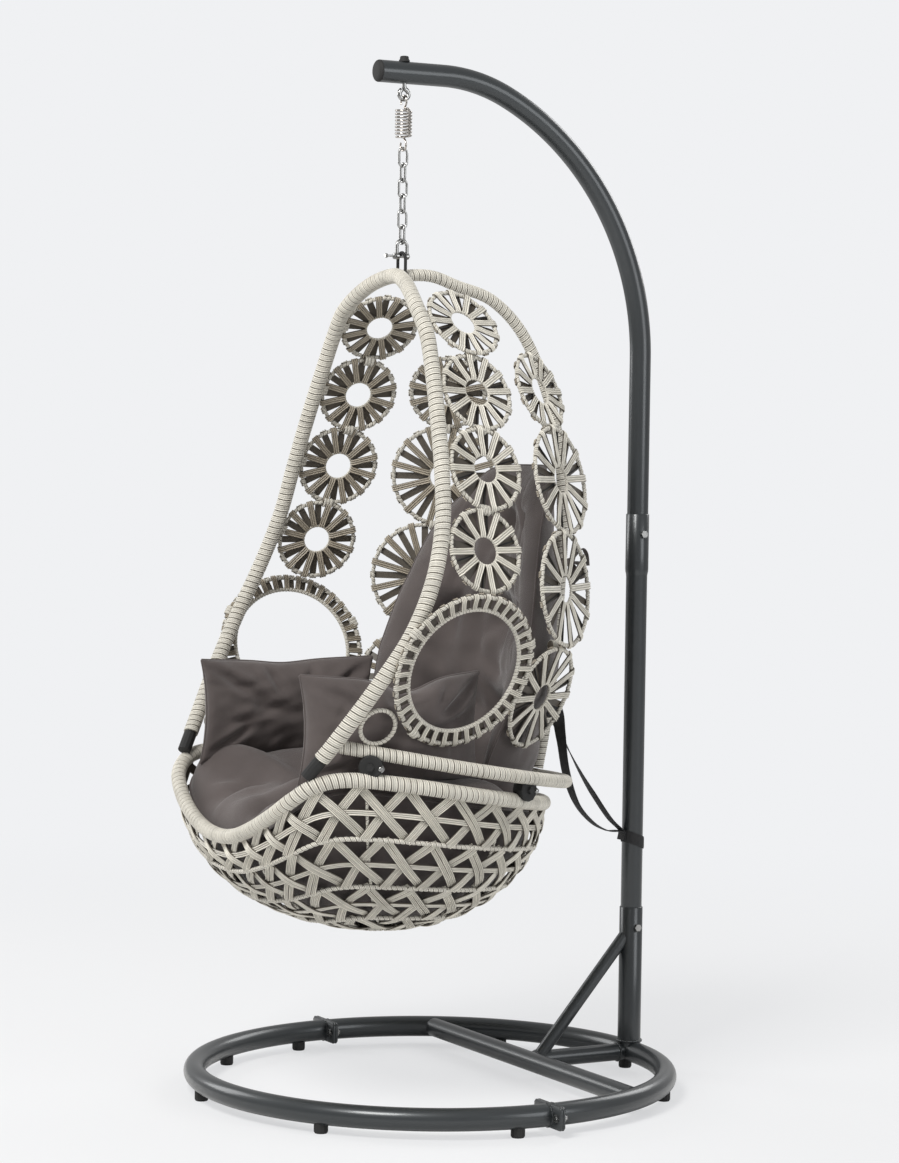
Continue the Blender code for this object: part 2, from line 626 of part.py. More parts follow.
def build_suspension():
    """Eye bolt, its nut, spring, links, shackle, pin and the chair's hanging loop."""
    shank_top = ARM_Z + POST_TUBE / 2 + 0.010
    eye = [(0, HOOK_Y, shank_top), (0, HOOK_Y, EYE_Z + EYE_LOOP + 0.008),
           (0, HOOK_Y + 0.0005, EYE_Z + EYE_LOOP + 0.003)]
    eye += arc(EYE_Z, EYE_LOOP, 78, -235, 10, math.pi / 2)
    make("eye_bolt", outward(tube(eye, EYE_WIRE / 2, 8, start=(1, 0, 0))), ZINC)
    bore = EYE_WIRE / 2 + HOLE_PLAY
    low = ARM_Z + POST_TUBE / 2 + SEAT
    nut = revolved([(bore, low), (0.0105, low), (0.0105, low + 0.003), (0.0085, low + 0.005),
                    (0.0085, low + 0.0085), (bore, low + 0.0085)], (0, HOOK_Y), 12)
    make("arm_top_nut", nut, BLACK_PLASTIC)

    path = spring_path()
    make("spring", outward(tube(path, SPRING_WIRE / 2, 6, start=(0, 1, 0))), NICKEL)
    print("spring: least gap to itself %.2f mm"
          % (1000 * least_self_gap(path, SPRING_WIRE, 3.0 * SPRING_WIRE)))

    for k in range(LINK_COUNT):
        plane = math.pi / 2 * ((k + 1) % 2)
        top = LINK_TOP - k * LINK_STEP
        make("chain_link_%d" % (k + 1), tube(oval(LINK_SPAN, LINK_WIDTH, top, plane),
                                             LINK_WIRE / 2, 6, closed=True), ZINC)

    half = SHACKLE_GAP / 2
    ear = (0.0, HOOK_Y + half, PIN_Z)
    bow = [(0, HOOK_Y + half, PIN_Z)]
    bow += arc(SHACKLE_TOP - half, half, 0, 180, 8, math.pi / 2)
    bow.append((0, HOOK_Y - half, PIN_Z))
    shackle = make("bow_shackle", outward(tube(bow, SHACKLE_WIRE / 2, 6, start=(1, 0, 0))), ZINC)
    for side in (1, -1):
        spot = (0, HOOK_Y + side * half, PIN_Z)
        boss = [(-0.0035, 0.0065, False), (0.0035, 0.0065, False)]
        combine(shackle, 'UNION', tool("shackle_ear", turned(spot, (0, 1, 0), boss)))
    bar = rod((0, ear[1] + 0.02, PIN_Z), (0, HOOK_Y - half - 0.02, PIN_Z), PIN_RADIUS + SEAT)
    combine(shackle, 'DIFFERENCE', tool("pin_hole", bar))
    shoulder = half + 0.0035 + SEAT
    profile = [(-half - 0.006, PIN_RADIUS * 0.8, False), (-half - 0.005, PIN_RADIUS, False),
               (shoulder, PIN_RADIUS, False), (shoulder, 0.006, False),
               (shoulder + 0.003, 0.006, False), (shoulder + 0.003, 0.002, False),
               (shoulder + 0.016, 0.002, False), (shoulder + 0.0165, 0.0042, False),
               (shoulder + 0.0215, 0.0042, False), (shoulder + 0.022, 0.002, False)]
    make("shackle_pin", turned((0, HOOK_Y, PIN_Z), (0, -1, 0), profile, 10), ZINC)

    loop_top = hung_on(PIN_Z, 2 * PIN_RADIUS, LOOP_WIRE)
    span = loop_top - CHAIR_Z + SPINE_TUBE / 2 + SEAT + LOOP_WIRE / 2
    make("hanging_loop", tube(oval(span, LOOP_WIDTH, loop_top, 0.0), LOOP_WIRE / 2, 6,
                              closed=True), BLACK_PLASTIC)


# ---------------------------------------------------------------- egg frames
def placed(points):
    """Chair outline points moved to the hanging chair's place."""
    return np.asarray(points, float) + np.array(CHAIR)


@lru_cache(maxsize=None)
def rim_half():
    """Right half of the rim, dense, in the chair's own outline coordinates."""
    pts = np.array(RIM_POINTS) + (0.0, RIM_Y, 0.0)
    return curve_through(pts, 8)


@lru_cache(maxsize=None)
def back_line():
    """Middle line of the shell's back from just behind the rim to the sill."""
    pts = np.array([(0.0, RIM_Y, 0.0)] + [(0.0, y, z) for y, z in BACK_POINTS])
    return curve_through(pts, 6)


def build_frames():
    """Rim, spine, sill, bowl rim and what joins the shell to the bowl."""
    rim_path = placed(evenly(mirrored(rim_half()), 36))
    rim = make("shell_rim", outward(tube(rim_path, RIM_TUBE / 2, 10, start=(0, 1, 0))), WICKER)
    rim_envelope = tool("rim_envelope", tube(rim_path, RIM_TUBE / 2 + SEAT, 10, start=(0, 1, 0)))

    sill_path = placed(evenly(mirrored(curve_through(np.array(SILL_POINTS)[::-1], 6)), 28))
    sill = make("shell_sill", outward(tube(sill_path, SILL_TUBE / 2, 10)), WICKER)
    combine(sill, 'DIFFERENCE', rim_envelope)
    sill_envelope = tool("sill_envelope", tube(sill_path, SILL_TUBE / 2 + SEAT, 10))

    spine_path = placed(evenly(back_line(), 18))
    spine = make("shell_spine", outward(tube(spine_path, SPINE_TUBE / 2, 8, start=(1, 0, 0))),
                 WICKER)
    combine(spine, 'DIFFERENCE', rim_envelope, sill_envelope)

    half = curve_through(BOWL_POINTS, 6)
    loop = np.vstack([half, (half[1:-1] * (-1, 1, 1))[::-1]])
    bowl_path = placed(evenly(loop, 42, closed=True))
    bowl = make("bowl_rim", outward(tube(bowl_path, BOWL_TUBE / 2, 10, closed=True)), WICKER)
    bowl_envelope = tool("bowl_envelope", tube(bowl_path, BOWL_TUBE / 2 + SEAT, 10, closed=True))
    return dict(rim=rim, sill=sill, spine=spine, bowl=bowl, rim_path=rim_path,
                sill_path=sill_path, spine_path=spine_path, bowl_path=bowl_path,
                rim_envelope=rim_envelope, sill_envelope=sill_envelope,
                bowl_envelope=bowl_envelope)


def nearest_index(path, point):
    """Index of the path's point nearest to the given one."""
    return int(np.argmin(np.linalg.norm(path - np.asarray(point), axis=1)))


def build_joiners(frames):
    """Corner plugs under the rim's ends and clamps between sill and bowl rim."""
    for side, name in ((1, "right"), (-1, "left")):
        end = frames["rim_path"][-1 if side > 0 else 0]
        inner = frames["rim_path"][-2 if side > 0 else 1]
        down = (end - inner) / np.linalg.norm(end - inner)
        start = end + down * SEAT
        profile = [(0.0, 0.0105, False), (0.003, 0.0125, False), (SPLIT_GAP + 0.01, 0.0125, False)]
        plug = make("corner_plug_" + name, outward(turned(start, down, profile)), BLACK_PLASTIC)
        combine(plug, 'DIFFERENCE', frames["bowl_envelope"], frames["sill_envelope"])
        for place, y in (("front", -0.190), ("rear", 0.130)):
            sill = frames["sill_path"]
            right = sill[sill[:, 0] * side > 0.05]
            upper = right[np.argmin(abs(right[:, 1] - CHAIR.y - y))]
            bowl = frames["bowl_path"]
            lower = bowl[nearest_index(bowl, upper)]
            middle = (upper + lower) / 2
            out = np.array((middle[0], middle[1] - CHAIR.y, 0.0))
            out /= np.linalg.norm(out)
            gap = np.linalg.norm(upper - lower)
            head = HEX_ACROSS / 2
            profile = [(-0.011, gap * 0.42, False), (0.011, gap * 0.42, False),
                       (0.013, gap * 0.36, False), (0.013, head, True), (0.0185, head, True)]
            clamp = make("frame_clamp_%s_%s" % (name, place), outward(turned(middle, out, profile, 12)),
                         BLACK_PLASTIC, smooth=False)
            combine(clamp, 'DIFFERENCE', frames["bowl_envelope"], frames["sill_envelope"])


# ---------------------------------------------------------------- wickerwork
@lru_cache(maxsize=None)
def outlines():
    """Rim and back line in rising order of height, to read widths and depths from."""
    rim, back = rim_half(), back_line()
    return rim[np.argsort(rim[:, 2])], back[np.argsort(back[:, 2])]


def shell_point(height, along):
    """Point on the egg at a height; along runs 0 at the rim to 1 at the back.

    The level section is an ellipse whose widest place is at the rim's side.
    """
    rim, back = outlines()
    width = np.interp(height, rim[:, 2], rim[:, 0])
    front = np.interp(height, rim[:, 2], rim[:, 1])
    rear = np.interp(height, back[:, 2], back[:, 1])
    belly = np.interp(height, (-0.90, -0.66, -0.50), (0.125, 0.075, 0.0))
    centre = front + belly
    depth = rear - centre
    start = -math.asin(min(0.95, belly / depth))
    a = start + (math.pi / 2 - start) * along
    wide = width / math.cos(start)
    return np.array((wide * math.cos(a), centre + depth * math.sin(a), height))


def surface_frame(height, along):
    """Centre, outward normal and two directions on the egg there."""
    p = shell_point(height, along)
    up = shell_point(height + 0.01, along) - shell_point(height - 0.01, along)
    back = shell_point(height, along + 0.02) - shell_point(height, along - 0.02)
    back /= np.linalg.norm(back)
    normal = np.cross(back, up)
    normal /= np.linalg.norm(normal)
    if normal[0] < 0:
        normal = -normal
    up = np.cross(normal, back)
    if up[2] < 0:
        up = -up
    return p, normal, back, up


def wheel_sheet(frame, radius, spokes, hub, hub_band, rim_band, width):
    """Wheel as a pierced flat sheet: hub ring, tapered spokes side by side on it, rim."""
    centre, normal, across, up = frame
    verts, faces, rows = [], [], []
    hub_out, rim_in = hub + hub_band, radius - rim_band

    def add(r, a):
        verts.append(centre + r * (math.cos(a) * across + math.sin(a) * up))
        return len(verts) - 1

    half, far = math.pi / spokes, width * 0.5 / rim_in
    for k in range(spokes):
        a = 2 * half * k
        rows.append((add(hub, a - half), add(hub_out, a - half), add(rim_in, a - far),
                     add(rim_in, a + far), add(radius, a), add(radius, a + half)))
    for k, (i, h, rl, rr, o, m) in enumerate(rows):
        i2, h2, rl2, _, o2, _ = rows[(k + 1) % spokes]
        faces += [(i, h, h2, i2), (h, rl, rr, h2), (rl, o, rr), (rr, o, m),
                  (rr, m, rl2), (m, o2, rl2)]
    return verts, faces, [normal] * len(verts)


def mirror_geometry(geometry, side):
    """The same body on the left for side -1."""
    verts, faces = geometry
    if side > 0:
        return geometry
    flipped = np.asarray(verts) * (-1, 1, 1)
    return flipped, [tuple(reversed(f)) for f in faces]


def wheel_body(height, along, radius, spokes=SPOKES, hub=HUB_HOLE, hub_band=HUB_BAND,
               width=SPOKE_WIDTH):
    """Solid wheel on the egg, right-hand side, in the world."""
    sheet = wheel_sheet(surface_frame(height, along), radius, spokes, hub, hub_band,
                        RING_BAND, width)
    verts, faces = outward(thickened(*sheet, WICKER_THICK))
    return placed(verts), faces


def search(geometry):
    """Corners and search tree of a body given as vertices and faces."""
    verts, faces = geometry
    corners = [Vector(v) for v in verts]
    return corners, BVHTree.FromPolygons(corners, faces)


def search_object(obj):
    """Corners and search tree of an object before its cuts, in the world."""
    return search(([obj.location + v.co for v in obj.data.vertices],
                   [tuple(p.vertices) for p in obj.data.polygons]))


def clearance(one, two):
    """Smallest distance between two bodies, from the corners of each; 0 if they cross."""
    if one[1].overlap(two[1]):
        return 0.0
    there = min(two[1].find_nearest(v)[3] for v in one[0])
    return min(there, min(one[1].find_nearest(v)[3] for v in two[0]))


def settle(make_body, other, low, high, gap):
    """Value between low (clear) and high (touching) that leaves just the gap."""
    for _ in range(18):
        middle = (low + high) / 2
        if clearance(search(make_body(middle)), other) > gap:
            low = middle
        else:
            high = middle
    return low


def tie(first, second):
    """Binding round the rims of two neighbouring wheels, where they come closest."""
    ends = []
    for (row, radius), (other, _) in ((first, second), (second, first)):
        centre, normal, _, _ = surface_frame(*row)
        way = shell_point(*other) - centre
        way -= (way @ normal) * normal
        ends.append(placed(centre + way / np.linalg.norm(way) * (radius - TIE_BITE)))
    return rod(*ends, TIE_RADIUS, 6)


def wheel_column(radii, first_height, along_of):
    """Heights and places of wheels that touch one below the other."""
    rows = [(first_height, along_of(first_height, radii[0]))]
    for above, radius in zip(radii, radii[1:]):
        height = rows[-1][0]
        upper = shell_point(*rows[-1])
        low, high = height - 2.2 * (above + radius), height - 0.3 * (above + radius)
        for _ in range(24):
            middle = (low + high) / 2
            apart = np.linalg.norm(shell_point(middle, along_of(middle, radius)) - upper)
            low, high = (middle, high) if apart > above + radius - TIE_BITE else (low, middle)
        rows.append((middle, along_of(middle, radius)))
    return rows


def side_along(height, radius):
    """Place along the section that puts a wheel next to the rim."""
    rim = placed(rim_half())
    low, high = 0.0, 0.8
    reach = RIM_TUBE / 2 + radius + 0.0015
    for _ in range(24):
        middle = (low + high) / 2
        apart = np.linalg.norm(rim - placed(shell_point(height, middle)), axis=1).min()
        low, high = (middle, high) if apart < reach else (low, middle)
    return high


def small_ring(height, along):
    """Little ring of wrapped wire on the egg, right-hand side."""
    centre, _, across, up = surface_frame(height, along)
    turn = np.arange(16)[:, None] * math.pi / 8
    circle = centre + SMALL_RING * (np.cos(turn) * across + np.sin(turn) * up)
    return outward(tube(placed(circle), SMALL_RING_WIRE, 6, closed=True))


def back_column(lean):
    """Places of the wheels between the side column and the spine; lean moves the
    lower ones towards the back."""
    def along_of(height, _radius):
        return 0.475 + lean * float(np.interp(height, (-0.80, -0.45), (1.0, 0.0)))
    return wheel_column(BACK_WHEEL_RADII, BACK_WHEEL_TOP, along_of)


def fuse(name, bodies, finish=WICKER):
    """One piece of several bodies that are bound together."""
    first = make(name, bodies[0], finish, smooth=False)
    for k, body in enumerate(bodies[1:]):
        combine(first, 'UNION', tool("%s_%d" % (name, k), body))
    return first


def build_wheels(frames):
    """The columns of spoked wheels and the arm rings on both sides."""
    rim = search_object(frames["rim"])

    side_rows = wheel_column(SIDE_WHEEL_RADII, SIDE_WHEEL_TOP, side_along)
    side_bodies = []
    for (height, _), radius in zip(side_rows, SIDE_WHEEL_RADII):
        def body(along, h=height, r=radius):
            return wheel_body(h, along, r)
        guess = side_along(height, radius)
        along = settle(body, rim, guess + 0.15, guess - 0.12, SEAT)
        side_bodies.append((body(along), (height, along), radius))

    def arm_ring(along):
        return wheel_body(ARM_RING_HEIGHT, along, ARM_RING_OUTER, spokes=ARM_RING_RUNGS,
                          hub=ARM_RING_INNER, hub_band=RING_BAND, width=RUNG_WIDTH)
    along = settle(arm_ring, rim, 0.55, 0.18, SEAT)
    big = arm_ring(along)

    sill, height = search_object(frames["sill"]), SMALL_RING_HEIGHT
    for _ in range(2):
        along = settle(lambda a: small_ring(height, a), rim, 0.6, 0.0, SEAT)
        height = settle(lambda h: small_ring(h, along), sill, -0.76, -0.88, SEAT)
    small = small_ring(height, along)

    def lowest(lean):
        return wheel_body(*back_column(lean)[-1], BACK_WHEEL_RADII[-1])
    back_rows = back_column(settle(lowest, search(big), 0.35, -0.1, SEAT))
    back_bodies = []
    for (height, along), radius in zip(back_rows, BACK_WHEEL_RADII):
        back_bodies.append((wheel_body(height, along, radius), (height, along), radius))

    for side, name in ((1, "right"), (-1, "left")):
        for label, column in (("side_wheels_", side_bodies), ("back_wheels_", back_bodies)):
            bodies = [b for b, _, _ in column]
            for upper, lower in zip(column, column[1:]):
                bodies.append(tie(upper[1:], lower[1:]))
            fuse(label + name, [mirror_geometry(b, side) for b in bodies])
        make("arm_ring_" + name, mirror_geometry(big, side), WICKER, smooth=False)
        make("small_ring_" + name, mirror_geometry(small, side), WICKER)
    return dict(side=side_bodies, back=back_bodies, big=big, small=small)


def bowl_surface(angle_index, count, rise, bowl_path):
    """Point of the bowl: angle index round the rim, rise 0 at the bottom to 1."""
    loop = bowl_path
    t = (angle_index % count) / count * len(loop)
    k = int(t) % len(loop)
    top = loop[k] + (loop[(k + 1) % len(loop)] - loop[k]) * (t - int(t))
    bottom = np.array(BOWL_BOTTOM) + np.array(CHAIR)
    a = rise * math.pi / 2
    out = bottom + (top - bottom) * (math.sin(a), math.sin(a), 1 - math.cos(a))
    return out


def build_lattice(frames):
    """Diagonal lattice of the bowl, cut back to the bowl rim."""
    loop, count, rows = frames["bowl_path"], LATTICE_AROUND, LATTICE_ROWS
    rises = np.linspace(0.26, 1.0, rows + 1)
    verts, normals = [], []
    centre = np.array(BOWL_BOTTOM) + np.array(CHAIR) + (0, 0, 0.35)

    def add(i, rise):
        p = bowl_surface(i, count, rise, loop)
        e = 0.02
        du = (bowl_surface(i + e * count / 10, count, rise, loop)
              - bowl_surface(i - e * count / 10, count, rise, loop))
        dv = bowl_surface(i, count, rise + e, loop) - bowl_surface(i, count, rise - e, loop)
        n = np.cross(du, dv)
        n /= np.linalg.norm(n)
        if n @ (p - centre) < 0:
            n = -n
        verts.append(p)
        normals.append(n)
        return len(verts) - 1

    knots = []
    for j, rise in enumerate(rises):
        row = []
        ring = sum(np.linalg.norm(bowl_surface(i + 1, count, rise, loop)
                                  - bowl_surface(i, count, rise, loop)) for i in range(count))
        wide = LATTICE_BAND * 0.5 / (ring / count)
        tall = LATTICE_BAND * 0.36 / 0.42
        for i in range(count):
            u = i + 0.5 * (j % 2)
            row.append((add(u, rise + tall), add(u + wide, rise), add(u, rise - tall),
                        add(u - wide, rise)))
        knots.append(row)
    faces = []
    for j, row in enumerate(knots):
        for i, (n, e, s, w) in enumerate(row):
            faces.append((n, w, s, e))
            if j == rows:
                continue
            shift = j % 2
            upper_right = knots[j + 1][(i + shift) % count]
            upper_left = knots[j + 1][(i + shift - 1) % count]
            faces.append((n, e, upper_right[2], upper_right[3]))
            faces.append((w, n, upper_left[1], upper_left[2]))
    # Ribs from the lowest knots run to a small disc at the bottom.
    bottom = len(verts)
    verts.append(np.array(BOWL_BOTTOM) + np.array(CHAIR))
    normals.append(np.array((0.0, 0.0, -1.0)))
    hub = [(add(i - 0.3, LATTICE_HUB), add(i + 0.3, LATTICE_HUB)) for i in range(count)]
    for i in range(count):
        _, e, s, w = knots[0][i]
        left, right = hub[i]
        faces += [(w, left, s), (s, left, right), (s, right, e),
                  (left, bottom, right), (right, bottom, hub[(i + 1) % count][0])]
    body = outward(thickened(verts, faces, normals, LATTICE_THICK))
    lattice = make("bowl_lattice", body, WICKER, smooth=False)
    combine(lattice, 'DIFFERENCE', frames["bowl_envelope"])
    return body


def quilt(point, columns, rows):
    """Cushion of two faces: point(u, v, face) for u, v in -1..1, face 1 or -1."""
    verts, faces = [], []
    width, per_face = columns + 1, (columns + 1) * (rows + 1)
    for face in (1, -1):
        for j in range(rows + 1):
            for i in range(width):
                verts.append(point(2 * i / columns - 1, 2 * j / rows - 1, face))
    for j in range(rows):
        for i in range(columns):
            a = j * width + i
            quad = (a, a + 1, a + 1 + width, a + width)
            faces.append(quad)
            faces.append(tuple(per_face + v for v in reversed(quad)))
    border = [i for i in range(width)]
    border += [j * width + columns for j in range(1, rows + 1)]
    border += [rows * width + i for i in range(columns - 1, -1, -1)]
    border += [j * width for j in range(rows - 1, 0, -1)]
    for a, b in zip(border, border[1:] + border[:1]):
        faces.append((b, a, per_face + a, per_face + b))
    return outward((verts, faces))


def seat_cushion(loop, drop):
    """Cushion that fills the bowl: its base follows the bowl, its top is crowned."""
    count = 20
    bottom = np.array(BOWL_BOTTOM) + np.array(CHAIR)
    lift = np.array((0.0, 0.0, SEAT_CLEAR - drop))
    rings = []
    for rise in (0.22, 0.45, 0.66, 0.84, 0.94):
        ring = [bowl_surface(i, count, rise, loop) for i in range(count)]
        inset = []
        for p in ring:
            out = p - bottom
            flat = math.hypot(out[0], out[1])
            inset.append(bottom + out * ((1 - SEAT_CLEAR / flat), (1 - SEAT_CLEAR / flat), 1.0)
                         + lift)
        rings.append(np.array(inset))
    edge = rings[-1]
    centre = edge.mean(axis=0)
    for share in (0.90, 0.66, 0.34):
        crown = SEAT_CROWN * (1 - share ** 3)
        rings.append(centre + (edge - centre) * (share, share, share) + (0, 0, crown))
    verts = [bottom + lift] + [p for ring in rings for p in ring]
    verts.append(centre + (0, 0, SEAT_CROWN))
    faces = [(0, 1 + (i + 1) % count, 1 + i) for i in range(count)]
    for k in range(len(rings) - 1):
        faces += ring_quads(1 + k * count, 1 + (k + 1) * count, count)
    last, top = 1 + (len(rings) - 1) * count, len(verts) - 1
    faces += [(last + i, last + (i + 1) % count, top) for i in range(count)]
    return outward((verts, faces))


def back_cushion(lower, back):
    """Tall pad that follows the shell's back, with two rows of tufts; moved down and back."""
    stand_off = SPINE_TUBE / 2 + SEAT + 0.004

    def point(u, v, face):
        height = BACK_PAD_BOTTOM + (BACK_PAD_TOP - BACK_PAD_BOTTOM) * (v + 1) / 2
        narrow = 1 - 0.30 * max(0.0, v) ** 2
        p, normal, _, _ = surface_frame(height, 1 - abs(u) * BACK_PAD_SPREAD * narrow)
        side = 1 if u >= 0 else -1
        p, normal = p * (side, 1, 1), normal * (side, 1, 1)
        if abs(u) < 0.01:
            normal = np.array((0.0, normal[1], normal[2]))
            normal /= np.linalg.norm(normal)
        fullness = ((1 - u ** 4) * (1 - v ** 4)) ** 0.5
        tuft = BACK_PAD_TUFT * abs(math.cos(math.pi * 1.5 * u) * math.cos(math.pi * 1.5 * v))
        depth = stand_off
        if face > 0:
            depth += PAD_EDGE + (BACK_PAD_THICK - PAD_EDGE) * fullness - tuft * fullness
        return placed(p - normal * depth + (0, back, -lower))
    return quilt(point, 12, 9)


def arm_pillow(out, lower, forward):
    """Pillow on edge beside the sitter, corners pointed, right-hand side."""
    def point(u, v, face):
        draw_u = 1 - PILLOW_DRAW * (1 - v * v)
        draw_v = 1 - PILLOW_DRAW * (1 - u * u)
        fullness = (max(0.0, 1 - u * u) * max(0.0, 1 - v * v)) ** 0.42
        y = PILLOW_Y + PILLOW_LENGTH / 2 * u * draw_u
        z = PILLOW_HEIGHT / 2 * v * draw_v
        bend = PILLOW_BEND * u * u
        x = face * (PAD_EDGE / 2 + (PILLOW_THICK - PAD_EDGE) / 2 * fullness) - bend
        return placed((PILLOW_START + out + x, y - forward, PILLOW_LEVEL - lower + z))
    return quilt(point, 8, 6)


def build_cushions(frames, wheels, lattice_body):
    """Seat, back and arm cushions, each let down onto what carries it."""
    lattice = search(lattice_body)
    loop = frames["bowl_path"]
    drop = settle(lambda d: seat_cushion(loop, d), lattice, 0.0, 2 * SEAT_CLEAR, SEAT)
    seat = seat_cushion(loop, drop)
    make("seat_cushion", seat, FABRIC)
    seat_search = search(seat)

    def merged(bodies):
        verts, faces = [], []
        for body in bodies:
            base = len(verts)
            verts += [tuple(v) for v in body[0]]
            faces += [tuple(base + k for k in f) for f in body[1]]
        return search((verts, faces))

    def of_object(obj):
        return ([obj.location + v.co for v in obj.data.vertices],
                [tuple(p.vertices) for p in obj.data.polygons])

    back_bodies = [b for b, _, _ in wheels["back"]]
    back_bodies += [mirror_geometry(b, -1) for b in back_bodies]
    shell = merged(back_bodies + [of_object(frames["spine"]), of_object(frames["sill"])])
    back = settle(lambda t: back_cushion(0.0, t), shell, -0.05, 0.05, SEAT)
    lower = settle(lambda t: back_cushion(t, back), seat_search, -0.06, 0.12, SEAT)
    back = min(back, settle(lambda t: back_cushion(lower, t), shell, -0.05, 0.05, 2 * SEAT))
    lower = settle(lambda t: back_cushion(t, back), seat_search, -0.06, 0.12, SEAT)
    pad = back_cushion(lower, back)
    make("back_cushion", pad, FABRIC)

    wall_bodies = [b for b, _, _ in wheels["side"]] + [b for b, _, _ in wheels["back"]]
    wall_bodies += [wheels["big"], wheels["small"]]
    wall_bodies += [of_object(frames["rim"]), of_object(frames["sill"])]
    walls = merged(wall_bodies)
    below = merged([seat, of_object(frames["bowl"])])
    reach, fall = 1.25 * PILLOW_HEIGHT, PILLOW_HEIGHT
    out = reach / 2
    for _ in range(2):
        lower = settle(lambda t: arm_pillow(out, t, 0.0), below, -fall / 4, fall, SEAT)
        out = settle(lambda t: arm_pillow(t, lower, 0.0), walls, 0.0, reach, SEAT)
    lower = settle(lambda t: arm_pillow(out, t, 0.0), below, -fall / 4, fall, SEAT)
    forward = settle(lambda t: arm_pillow(out, lower, t), search(pad), fall * 0.6, 0.0, SEAT)
    around = merged(wall_bodies + [pad])
    out = settle(lambda t: arm_pillow(t, lower, forward), around, 0.0, reach, SEAT)
    pillow = arm_pillow(out, lower, forward)
    for side, name in ((1, "right"), (-1, "left")):
        make("arm_pillow_" + name, mirror_geometry(pillow, side), FABRIC)


# ---------------------------------------------------------------- tether strap
def ribbon(path, widths, thickness):
    """Flat strap along a path; widths gives its half-width vector at each point."""
    pts, wide = np.asarray(path, float), np.asarray(widths, float)
    tangent = np.gradient(pts, axis=0)
    tangent /= np.linalg.norm(tangent, axis=1)[:, None]
    face = np.cross(tangent, wide)
    face /= np.linalg.norm(face, axis=1)[:, None]
    verts, faces = [], []
    for p, w, n in zip(pts, wide, face * thickness / 2):
        verts += [p + w + n, p - w + n, p - w - n, p + w - n]
    for k in range(len(pts) - 1):
        faces += ring_quads(4 * k, 4 * k + 4, 4)
    last = 4 * (len(pts) - 1)
    faces += [(3, 2, 1, 0), tuple(last + k for k in range(4))]
    return outward((verts, faces))


def build_strap(frames):
    """Webbing from the shell's spine to a cuff round the post."""
    spine = frames["spine_path"]
    anchor = spine[np.argmin(abs(spine[:, 2] - (CHAIR_Z - STRAP_DROP)))]
    wrap = SPINE_TUBE / 2 + STRAP_THICK / 2 + STRAP_PLAY
    cuff_outer = POST_TUBE / 2 + SEAT + STRAP_THICK
    low_y = POST_Y - cuff_outer - SEAT - STRAP_THICK / 2
    half = STRAP_WIDTH / 2
    # The cuff is a sloping band: its height falls from front to back of the post.
    slope = 0.35
    verts, faces = [], []
    for r, z in ((POST_TUBE / 2 + SEAT, -half), (cuff_outer, -half),
                 (cuff_outer, half), (POST_TUBE / 2 + SEAT, half)):
        r = r / math.cos(math.pi / 14) if r < cuff_outer else r
        for k in range(14):
            a = 2 * math.pi * k / 14
            x, y = r * math.cos(a), r * math.sin(a)
            verts.append((x, POST_Y + y, CUFF_HEIGHT + z - slope * (y + cuff_outer)))
    for k in range(4):
        faces += ring_quads(k * 14, (k + 1) % 4 * 14, 14)
    make("post_strap_cuff", outward((verts, faces)), WEBBING, smooth=False)

    def strand(side, sag, end_y):
        """Points from the spine to the cuff; side tells the two strands apart."""
        span = low_y - anchor[1] - wrap
        drop = anchor[2] - CUFF_HEIGHT
        out = [(side * wrap, anchor[1] + STRAP_TAIL, anchor[2])]
        for t in (0.12, 0.3, 0.5, 0.7, 0.86):
            y = anchor[1] + wrap + span * (t - 0.15 * math.sin(math.pi * t))
            z = anchor[2] - drop * t - sag * math.sin(math.pi * t)
            out.append((side * wrap * (1 - t), y, z))
        out.append((0.0, end_y, CUFF_HEIGHT + half * 0.7))
        out.append((0.0, end_y, CUFF_HEIGHT - half * 0.7))
        return out
    near = strand(1, STRAP_SAGS[0], low_y - STRAP_THICK - 2 * SEAT)
    far = strand(-1, STRAP_SAGS[1], low_y)
    turn = [(wrap * math.cos(a), anchor[1] + wrap * math.sin(a), anchor[2])
            for a in np.radians(np.linspace(0, -180, 7))]
    path = near[::-1] + turn + far
    along = [math.hypot(p[1] - anchor[1], p[2] - anchor[2]) for p in path]
    reach = max(along)
    widths = []
    for p, d in zip(path, along):
        t = min(1.0, d / reach * 1.6)
        w = np.array((math.sin(t * math.pi / 2), 0.0, math.cos(t * math.pi / 2)))
        if p[0] < -1e-6:
            w = w * (-1, 1, 1)
        widths.append(w / np.linalg.norm(w) * half)
    for k in range(1, len(widths)):
        if widths[k] @ widths[k - 1] < 0:
            widths[k] = -widths[k]
    make("tether_strap", ribbon(path, widths, STRAP_THICK), WEBBING, smooth=False)


def main():
    """Build every piece."""
    clear_scene()
    envelope, cross_envelope = build_base()
    build_post(envelope, cross_envelope)
    build_suspension()
    frames = build_frames()
    build_joiners(frames)
    wheels = build_wheels(frames)
    lattice = build_lattice(frames)
    build_cushions(frames, wheels, lattice)
    build_strap(frames)


main()
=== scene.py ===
"""Looks of the hanging egg chair: every tube, strand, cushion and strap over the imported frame.

Surfaces are worked out as numpy grids in metres, with the floor at height 0, and each piece is
left at the origin with its place in its mesh.  A point's mark holds what its finish reads: for
a strand the cosine and sine of its place across and the length along it, for webbing its place
across and the length.
"""
import json
import logging
import math
from dataclasses import dataclass
from enum import Enum
from typing import Callable, Iterable, Sequence

